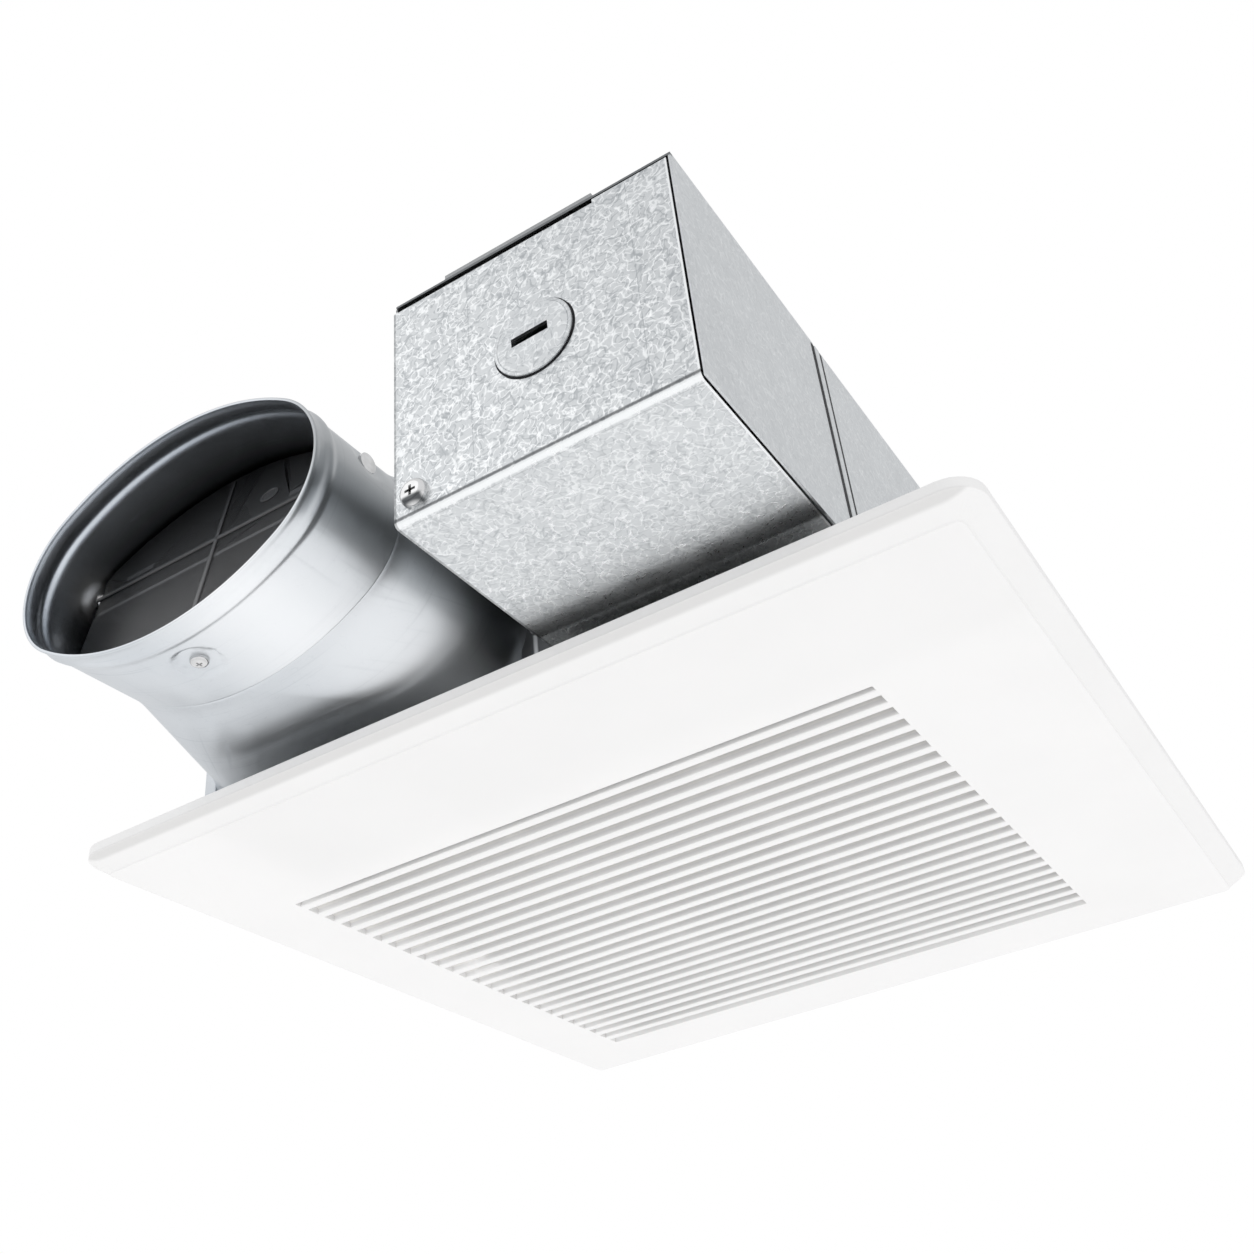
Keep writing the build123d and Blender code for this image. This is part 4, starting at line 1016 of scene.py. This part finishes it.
@dataclass
class OvalDuct:
    """Oval collar and the adapter that leads to it from the housing's wall."""

    centre_x: float = -0.0554
    centre_z: float = 0.0453
    half_width: float = 0.060
    half_height: float = 0.0392
    side_radius: float = 0.030
    sheet: float = 0.001
    back: float = -0.197
    front: float = -0.235
    wall: float = -0.145
    bead_place: float = -0.2285
    bead_length: float = 0.003
    bead_rise: float = 0.0008
    lip_rise: float = 0.0004
    mouth_left: float = -0.122
    mouth_right: float = 0.013
    mouth_low: float = 0.0054
    mouth_high: float = 0.0841
    mouth_corner: float = 0.024
    flange_width: float = 0.0095
    flange_low: float = 0.0144
    flange_high: float = 0.0751
    dish_radius: float = 0.0066
    dish_depth: float = 0.0012
    dish_rim: float = 1.2
    side_seat: float = 0.0576
    side_ease: float = 0.9
    stop_ease: float = 0.2
    pivot: tuple[float, float] = (-0.2095, 0.0570)
    stop_y: float = -0.2161
    around: int = 360
    ease: float = 0.14
    flare: float = 0.0022
    flare_share: float = 0.07
    spigot: float = 0.0035
    spigot_inset: float = 1.1
    flange_lap: float = 0.002
    wall_left: float = -0.125

    def oval(self, angle: float, grow: float) -> tuple[float, float]:
        """Point of the oval whose normal has an angle.

        Args:
            angle: the normal's angle.
            grow: how far the oval is moved out.

        Returns:
            The point's x and z.
        """
        rise = self.half_height - self.side_radius
        run = self.half_width - self.side_radius
        drop = (run**2 - rise**2) / (2 * rise)
        join = math.atan2(drop, run)
        c, s = math.cos(angle), math.sin(angle)
        if abs(math.atan2(abs(s), abs(c))) <= join:
            radius = self.side_radius + grow
            x, z = math.copysign(run, c) + radius * c, radius * s
        else:
            radius = self.half_height + drop + grow
            x, z = radius * c, radius * s - math.copysign(drop, s)
        return self.centre_x + x, self.centre_z + z

    def mouth(self, angle: float) -> tuple[float, float]:
        """Point of the adapter's mouth on the wall whose normal has an angle.

        Args:
            angle: the normal's angle.

        Returns:
            The point's x and z.
        """
        c, s = math.cos(angle), math.sin(angle)
        x = (self.mouth_right if c > 0 else self.mouth_left) - math.copysign(self.mouth_corner, c)
        z = (self.mouth_high if s > 0 else self.mouth_low) - math.copysign(self.mouth_corner, s)
        return x + self.mouth_corner * c, z + self.mouth_corner * s

    def tube(self, name: str, stations: list[float]) -> Piece:
        """Draw a ring of vertices out along -Y, to be shaped by warp.

        Args:
            name: the piece's name.
            stations: the places along Y that it is drawn through.

        Returns:
            The tube.
        """
        step = 180 / self.around
        ring = Piece.rod(name, (0, 0, 0), 1, 1, (90, step, 0), self.around, "NOTHING")
        ring.pick("VERT", lambda v: v.co.y < 0).do("delete", type="VERT")
        ring.warp(lambda p: Vector((p.x, stations[0], p.z)))
        for first, last in zip(stations, stations[1:]):
            ring.pick("EDGE", lambda e: all(abs(v.co.y - first) < MERGE_DISTANCE for v in e.verts))
            ring.draw_out((0, last - first, 0))
        return ring

    def rise(self, y: float) -> float:
        """How far the bead and the lip stand out.

        Args:
            y: the place along the collar.

        Returns:
            The rise of its wall there.
        """
        off = abs(y - self.bead_place) / self.bead_length
        bead = self.bead_rise * (0.5 + 0.5 * math.cos(math.pi * min(off, 1)))
        lip = max(0.0, (self.front + 2 * self.sheet - y) / (2 * self.sheet))
        return bead + self.lip_rise * math.sin(math.pi / 2 * min(lip, 1))

    def dished(self, place: Vector) -> Vector:
        """Push a point of the collar in where a dimple is pressed.

        Args:
            place: the point.

        Returns:
            The point where the dimples leave it.
        """
        middle = Vector((self.centre_x, place.y, self.centre_z))
        inward = (middle - place).normalized()
        for seat in (
            Vector((self.centre_x + self.side_seat, *self.pivot)),
            Vector((self.centre_x - self.side_seat, *self.pivot)),
            Vector((self.centre_x, self.stop_y, self.centre_z - self.half_height)),
        ):
            away = (place - seat).length / self.dish_radius
            if away < self.dish_rim:
                at_side = abs(seat.x - self.centre_x) > self.dish_radius
                ease = self.side_ease if at_side else self.stop_ease
                share = min(1.0, max(0.0, (self.dish_rim - away) / ease))
                push = self.dish_depth * share * share * (3 - 2 * share)
                if at_side:
                    place = place + Vector((math.copysign(push, inward.x), 0, 0))
                else:
                    place = place + Vector((0, 0, push))
        return place

    def build_collar(self) -> None:
        """Make the collar with its rolled lip, bead and dimples."""
        count = 64
        stations = [self.back + (self.front - self.back) * i / count for i in range(count + 1)]
        collar = self.tube("duct_collar_sheet", stations)

        def shape(place: Vector) -> Vector:
            """Place on the collar of a point of the plain tube."""
            x, z = self.oval(math.atan2(place.z, place.x), self.rise(place.y))
            return self.dished(Vector((x, place.y, z)))

        collar.warp(shape).face_out()
        self.thicken(collar, Finish.COLLAR_ZINC).soften(0.0002, 2, 50)
        collar.done(None, stands_for=("duct_collar",))

    def thicken(self, sheet: Piece, finish: Finish) -> Piece:
        """Give a sheet its thickness, its inner faces with the shaded finish."""
        return sheet.dress(finish, Finish.INNER_ZINC).modify(
            "SOLIDIFY", thickness=self.sheet, offset=-1, use_even_offset=True, material_offset=1
        )

    def build_adapter(self) -> None:
        """Make the adapter's smooth wall, its spigot and its flanges."""
        count = 42
        run = self.back - self.wall
        stations = [self.wall + run * i / count for i in range(count + 1)]
        stations += [self.back - self.spigot]
        adapter = self.tube("adapter_sheet", stations)

        def shape(place: Vector) -> Vector:
            """Place on the adapter of a point of the plain tube.

            Args:
                place: the point of the tube.

            Returns:
                Its place on the adapter.
            """
            angle = math.atan2(place.z, place.x)
            if place.y < self.back - self.sheet:
                x, z = self.oval(angle, -self.sheet * self.spigot_inset)
                return Vector((x, place.y, z))
            left = max(0.0, 1 - (place.y - self.wall) / run)
            bend = left - self.ease / 2 if left > self.ease else left**2 / (2 * self.ease)
            share = 1 - bend / (1 - self.ease / 2)
            foot = max(0.0, 1 - (1 - left) / self.flare_share)
            x, z = Vector(self.mouth(angle)).lerp(Vector(self.oval(angle, 0)), share)
            grow = self.flare * foot**2
            return Vector((x + grow * math.cos(angle), place.y, z + grow * math.sin(angle)))

        adapter.warp(shape).face_out()
        self.thicken(adapter, Finish.DUCT_ZINC)
        plates = []
        for low_x, high_x in (
            (self.mouth_right - self.flange_lap, self.mouth_right + self.flange_width),
            (self.wall_left, self.mouth_left + self.flange_lap),
        ):
            plate = Piece.block(
                "flange", (low_x, self.wall - self.sheet, self.flange_low),
                (high_x, self.wall, self.flange_high),
            )
            plates.append(plate.soften(0.00025).dress(Finish.DUCT_ZINC))
        adapter.join(plates).done(None, stands_for=("adapter_body",))

    def build(self) -> None:
        """Make the collar and the adapter."""
        self.build_collar()
        self.build_adapter()


@dataclass
class Damper:
    """Flap of the backdraft damper with its pressed cross and a small oval mark."""

    pivot: tuple[float, float, float] = (-0.0554, -0.2095, 0.0570)
    lean: float = 12.0
    plate_front: float = 0.0031
    rib_width: float = 0.0017
    rib_rise: float = 0.0006
    half_width: float = 0.053
    drop: float = 0.004
    reach: tuple[float, float] = (-0.0455, 0.0235)
    mark: tuple[float, float] = (0.0195, 0.0055)
    mark_radius: float = 0.0031
    mark_stretch: tuple[float, float] = (1.25, 0.9)
    shave: float = 0.00006
    rib_sink: float = 0.0002

    def build(self) -> None:
        """Make the flap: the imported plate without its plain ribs, and the ribs where they are."""
        lean = math.radians(self.lean)
        out = Vector((0, -math.cos(lean), math.sin(lean)))
        pivot = Vector(self.pivot)
        place = Matrix.Translation(pivot) @ Matrix.Rotation(-lean, 4, "X")
        flap = Piece.copy_of("damper_flap_plate", "damper_flap").pick("FACE", lambda f: True)
        flap.do(
            "bisect", plane_co=pivot + out * (self.plate_front - self.shave), plane_no=out,
            clear_outer=True, use_fill=True,
        )
        low, high = self.reach
        front, half = -self.plate_front, self.rib_width / 2
        bars = []
        for corner, other in (
            ((-self.half_width, -self.drop - half), (self.half_width, -self.drop + half)),
            ((-half, low), (half, high)),
        ):
            bar = Piece.block(
                "rib", (corner[0], front - self.rib_rise, corner[1]),
                (other[0], front + self.rib_sink, other[1]),
            ).soften(0.0004, 3)
            bars.append(bar.place(place))
        mark = Piece.rod(
            "mark", (0, front, 0), self.mark_radius, self.rib_rise, (90, 0, 0), 48
        ).pick("FACE", lambda f: f.normal.y < -0.9)
        mark.do("inset", thickness=self.mark_radius * 0.25, depth=0)
        mark.do("inset", thickness=self.mark_radius * 0.1, depth=-self.rib_rise * 0.4)
        mark.soften(0.0001, 2)
        wide, tall = self.mark_stretch
        shift = Matrix.Translation((self.mark[0], 0, self.mark[1]))
        mark.place(shift @ Matrix.Diagonal((wide, 1, tall, 1)))
        flap.join([*bars, mark.place(place)])
        flap.done(Finish.DAMPER, "damper_steel", ("damper_flap",), "damper")


@dataclass
class WiringCompartment:
    """Wiring box with its bent cover, raised knockout and pressed seams."""

    knockout: tuple[float, float] = (0.0784, 0.0435)
    knockout_radius: float = 0.0123
    front: float = -0.233
    disc_rise: float = 0.0011
    disc_gap: float = 0.0005
    groove: float = 0.00018
    top_cut: tuple[float, float, float] = (0.030, 0.100, 0.0017)
    cut_past: float = 0.001
    cut_in: float = 0.0012
    cover_top: float = 0.0834
    slot_middle: tuple[float, float] = (0.0776, 0.0446)
    slot_size: tuple[float, float] = (0.0116, 0.003)
    slot_tilt: float = 2.0
    slot_deep: float = 0.006
    seam_y: float = -0.145
    seam_gap: float = 0.0021
    seam_width: float = 0.0032
    seam_lift: float = 0.00035
    seam_sink: float = 0.0002
    seam_slit: float = 0.0001
    right: float = 0.125
    low: float = 0.0031
    high: float = 0.0845

    def build_cover(self) -> None:
        """Make the cover's rounded sheet, its raised knockout disc and a ring of painted shade in
        its slit.
        """
        cover = Piece.copy_of("wiring_cover_sheet", "wiring_cover")
        left, right, deep = self.top_cut
        top = Piece.block(
            "top", (left, self.front - self.cut_past, self.cover_top - deep),
            (right, self.front + self.cut_in, self.high + self.cut_past),
        )
        cover.cut(self.slot(), top).soften(0.00012, 2, 40)
        cover.done(Finish.COVER_ZINC, stands_for=("wiring_cover",))
        x, z = self.knockout
        disc = Piece.rod(
            "knockout_disc", (x, self.front - self.disc_rise / 2, z),
            self.knockout_radius, self.disc_rise, (90, 0, 0), 96,
        ).soften(0.0003, 3)
        disc.pick("FACE", lambda f: f.normal.y < -0.999)
        disc.do("inset", thickness=self.groove * 3, depth=0)
        disc.do("inset", thickness=self.groove, depth=-self.groove)
        disc.do("inset", thickness=self.groove, depth=self.groove)
        disc.cut(self.slot()).done(Finish.KNOCKOUT_ZINC)
        # A near-black ring behind the disc's slit: painted shade.
        gap = Piece.rod(
            "knockout_gap", (x, self.front, z), self.knockout_radius + self.disc_gap,
            self.disc_gap / 3, (90, 0, 0), 96,
        ).soften(self.disc_gap / 10, 1)
        gap.cut(self.slot()).done(Finish.GAP)

    def slot(self) -> Piece:
        """Make the space of the pry slot.

        Returns:
            The piece that is cut out.
        """
        x, z = self.slot_middle
        half_x, half_z = self.slot_size[0] / 2, self.slot_size[1] / 2
        deep = self.slot_deep
        slot = Piece.block("slot", (-half_x, -deep, -half_z), (half_x, deep, half_z))
        tilt = Matrix.Rotation(math.radians(-self.slot_tilt), 4, "Y")
        return slot.place(Matrix.Translation((x, self.front, z)) @ tilt)

    def build_box(self) -> None:
        """Make the box's rounded sheet, the folded seam beside the housing and strips of painted
        shade in its gaps.
        """
        box = Piece.copy_of("wiring_box_sheet", "wiring_box")
        box.soften(0.00015, 2, 40)
        box.done(Finish.BOX_ZINC, stands_for=("wiring_box",))
        edge = self.seam_y + self.seam_width
        strip = Piece.block(
            "seam_strip", (self.right - self.seam_sink, self.seam_y, self.low),
            (self.right + self.seam_lift, edge, self.high - 0.001),
        ).soften(0.00025, 3)
        strip.done(Finish.WALL_ZINC)
        # Near-black strips on both sides of the seam: painted shade in its gaps.
        for name, start, wide in (
            ("seam_gap_near", self.seam_y - self.seam_gap, self.seam_gap - self.seam_slit),
            ("seam_gap_far", edge + self.seam_slit, self.seam_gap),
        ):
            gap = Piece.block(
                name, (self.right - self.seam_sink, start, self.low),
                (self.right + self.seam_slit, start + wide, self.high - 0.0012),
            ).soften(0.00004, 1)
            gap.done(Finish.GAP)

    def build(self) -> None:
        """Make the cover and the box."""
        self.build_cover()
        self.build_box()


class Head(Enum):
    """Cross-recessed screws: head's radius and height, shank's radius and length."""

    SMALL = (0.0029, 0.0017, 0.0015, 0.005)
    LARGE = (0.0043, 0.0023, 0.0021, 0.008)


@dataclass
class CrossScrews:
    """Domed cross-recessed screws of one node, modelled once and copied."""

    name: str
    head: Head
    places: tuple[tuple[float, float, float], ...]
    turn: tuple[float, float, float]
    node: str
    finish: Finish
    crown: float = 0.85
    arm: float = 0.12
    reach: float = 0.48
    depth: float = 0.7

    def build(self) -> None:
        """Make the screws."""
        radius, height, shank, length = self.head.value
        dome = Piece.rod(self.name, (0, 0, height / 2), radius, height, sides=64)
        dome.pick("EDGE", lambda e: all(v.co.z > height * 0.9 for v in e.verts))
        dome.do("bevel", offset=height * self.crown, segments=6, affect="EDGES", profile=0.55)
        arm, reach, deep = radius * self.arm, radius * self.reach, height * self.depth
        bars = []
        for wide, tall in ((arm, reach), (reach, arm)):
            bar = Piece.block("recess", (-wide, -tall, height - deep), (wide, tall, height * 1.5))
            bar.pick("FACE", lambda f: f.normal.z < -0.9).resize((0.6, 0.6, 1), (0, 0, 0))
            bars.append(bar)
        dome.cut(*bars).soften(0.0001, 2, 40)
        stem = Piece.rod("stem", (0, 0, -length / 2), shank, length, sides=32)
        stem.pick("FACE", lambda f: f.normal.z < -0.9)
        stem.do("inset", thickness=shank * 0.3, depth=shank * 0.4)
        screw = dome.join([stem])
        angles = Euler(tuple(math.radians(a) for a in self.turn)).to_matrix().to_4x4()
        screws = []
        for place in self.places:
            screws.append(screw.copy("screw").place(Matrix.Translation(place) @ angles))
        bpy.data.objects.remove(screw.thing)
        whole = screws[0].join(screws[1:])
        whole.thing.name = self.name
        whole.done(self.finish, "zinc_screws", (self.node,))


@dataclass
class Studio:
    """Camera, floor and soft lights of the picture."""

    picture_side: float = 1254.0
    focal_pixels: float = 1451.8
    centre_pixel_x: float = 631.1
    centre_pixel_y: float = 629.2
    sensor: float = 36.0
    camera_place: tuple[float, float, float] = (0.2218, -0.4650, -0.2347)
    azimuth: float = 28.19
    elevation: float = -33.94
    roll: float = -6.38
    floor_level: float = -0.42
    floor_half: float = 4.0
    floor_glow: float = 0.31
    sky: Colour = (0.985, 0.99, 1.0)
    sky_strength: float = 0.88
    key_place: Colour = (-0.9, -1.1, 0.9)
    key_size: tuple[float, float] = (1.2, 1.0)
    key_power: float = 1.4
    flags: tuple[tuple[str, Colour, Colour], ...] = (
        ("flag_under_grille", (-0.112, -0.158, -0.0135), (0.16, -0.10, -0.0130)),
        ("flag_before_grille", (-0.112, -0.1660, -0.0065), (0.16, -0.1655, 0.002)),
    )

    def aim(self) -> Matrix:
        """Work out the camera's turn from its azimuth, elevation and roll.

        Returns:
            The turn.
        """
        a, e = math.radians(self.azimuth), math.radians(self.elevation)
        back = Vector((math.sin(a) * math.cos(e), -math.cos(a) * math.cos(e), math.sin(e)))
        right = Vector((0, 0, 1)).cross(back).normalized()
        level = Matrix((right, back.cross(right), back)).transposed()
        return level @ Matrix.Rotation(math.radians(self.roll), 3, "Z")

    def add_camera(self) -> None:
        """Make the camera of the photograph's view."""
        lens = bpy.data.cameras.new("photo_camera")
        lens.sensor_width = self.sensor
        lens.lens = self.sensor * self.focal_pixels / self.picture_side
        lens.shift_x = (self.picture_side / 2 - self.centre_pixel_x) / self.picture_side
        lens.shift_y = (self.centre_pixel_y - self.picture_side / 2) / self.picture_side
        lens.clip_start = 0.01
        camera = bpy.data.objects.new("photo_camera", lens)
        camera.matrix_world = Matrix.Translation(self.camera_place) @ self.aim().to_4x4()
        bpy.context.scene.collection.objects.link(camera)
        bpy.context.scene.camera = camera

    def add_key(self) -> None:
        """Add the soft light above and to the left, which points at the fan's middle."""
        lamp = bpy.data.lights.new("key_above_left", "AREA")
        lamp.shape = "RECTANGLE"
        lamp.size, lamp.size_y = self.key_size
        lamp.energy = self.key_power
        key = bpy.data.objects.new("key_above_left", lamp)
        key.location = self.key_place
        key.rotation_mode = "QUATERNION"
        middle = (cad_box[0] + cad_box[1]) / 2
        key.rotation_quaternion = (Vector(self.key_place) - middle).to_track_quat("Z", "Y")
        bpy.context.scene.collection.objects.link(key)
        key.visible_camera = False

    def add_floor(self) -> None:
        """Lay the plain pale floor."""
        bpy.ops.object.select_all(action="DESELECT")
        level = (0, 0, self.floor_level)
        bpy.ops.mesh.primitive_plane_add(size=2 * self.floor_half, location=level)
        floor = bpy.context.object
        floor.name = "studio_floor"
        sheet = Sheet("pale_floor")
        floor.data.materials.append(sheet.finish(
            Base_Color=(0.88, 0.88, 0.88), Roughness=0.9,
            Emission_Color=(1.0, 1.0, 1.0), Emission_Strength=self.floor_glow,
        ))

    def add_flag(self, name: str, low: Triple, high: Triple) -> None:
        """Add a dark card that only reflections see.

        Args:
            name: the card's name.
            low: its lowest corner.
            high: its highest corner.
        """
        card = Piece.block(name, low, high).thing
        sheet = Sheet(name)
        card.data.materials.append(sheet.finish(Base_Color=(0.004, 0.004, 0.004), Roughness=1.0))
        card.visible_camera = card.visible_diffuse = card.visible_shadow = False

    def add_world(self) -> None:
        """Set the white backdrop and the soft light from all round."""
        sheet = Sheet("studio_world", world=True)
        bpy.context.scene.world = sheet.owner
        seen = sheet.node("ShaderNodeBackground", {}, {0: (1, 1, 1), 1: 1.0})
        light = sheet.node("ShaderNodeBackground", {}, {0: self.sky, 1: self.sky_strength})
        at_camera = sheet.node("ShaderNodeLightPath", {}, {}, "Is Camera Ray")
        for socket, value in zip(sheet.shader.inputs, (at_camera, light, seen)):
            sheet.feed(socket, value)

    def build(self) -> None:
        """Set up the whole studio."""
        view = bpy.context.scene.view_settings
        view.view_transform = "Standard"
        view.look = "None"
        self.add_world()
        self.add_floor()
        self.add_camera()
        self.add_key()
        for flag in self.flags:
            self.add_flag(*flag)
        log.info("studio is set")


SUB_ASSEMBLIES = (
    GrillePanel(),
    OvalDuct(),
    Damper(),
    WiringCompartment(),
    CrossScrews(
        "cover_screw_domed", Head.LARGE, ((0.0384, -0.233, 0.011),), (90, 0, 0),
        "cover_screw", Finish.COVER_SCREW,
    ),
    CrossScrews(
        "stop_screw_domed", Head.SMALL, ((-0.0554, -0.2161, 0.0073),), (180, 0, 0),
        "damper_stop_screw", Finish.SCREW,
    ),
    CrossScrews(
        "adapter_screws_domed", Head.SMALL,
        ((0.01775, -0.146, 0.0239), (0.01775, -0.146, 0.0656)), (90, 0, 0),
        "adapter_screws", Finish.SCREW,
    ),
    CrossScrews(
        "ground_screw_domed", Head.SMALL, ((0.0782, -0.145, 0.0231),), (90, 0, 0),
        "ground_screw", Finish.GROUND_SCREW,
    ),
)


def main() -> None:
    """Build the fan's looks in order."""
    logging.basicConfig(level=logging.INFO)
    dress_nodes()
    for part in SUB_ASSEMBLIES:
        part.build()
    Studio().build()


if __name__ == "__main__":
    main()
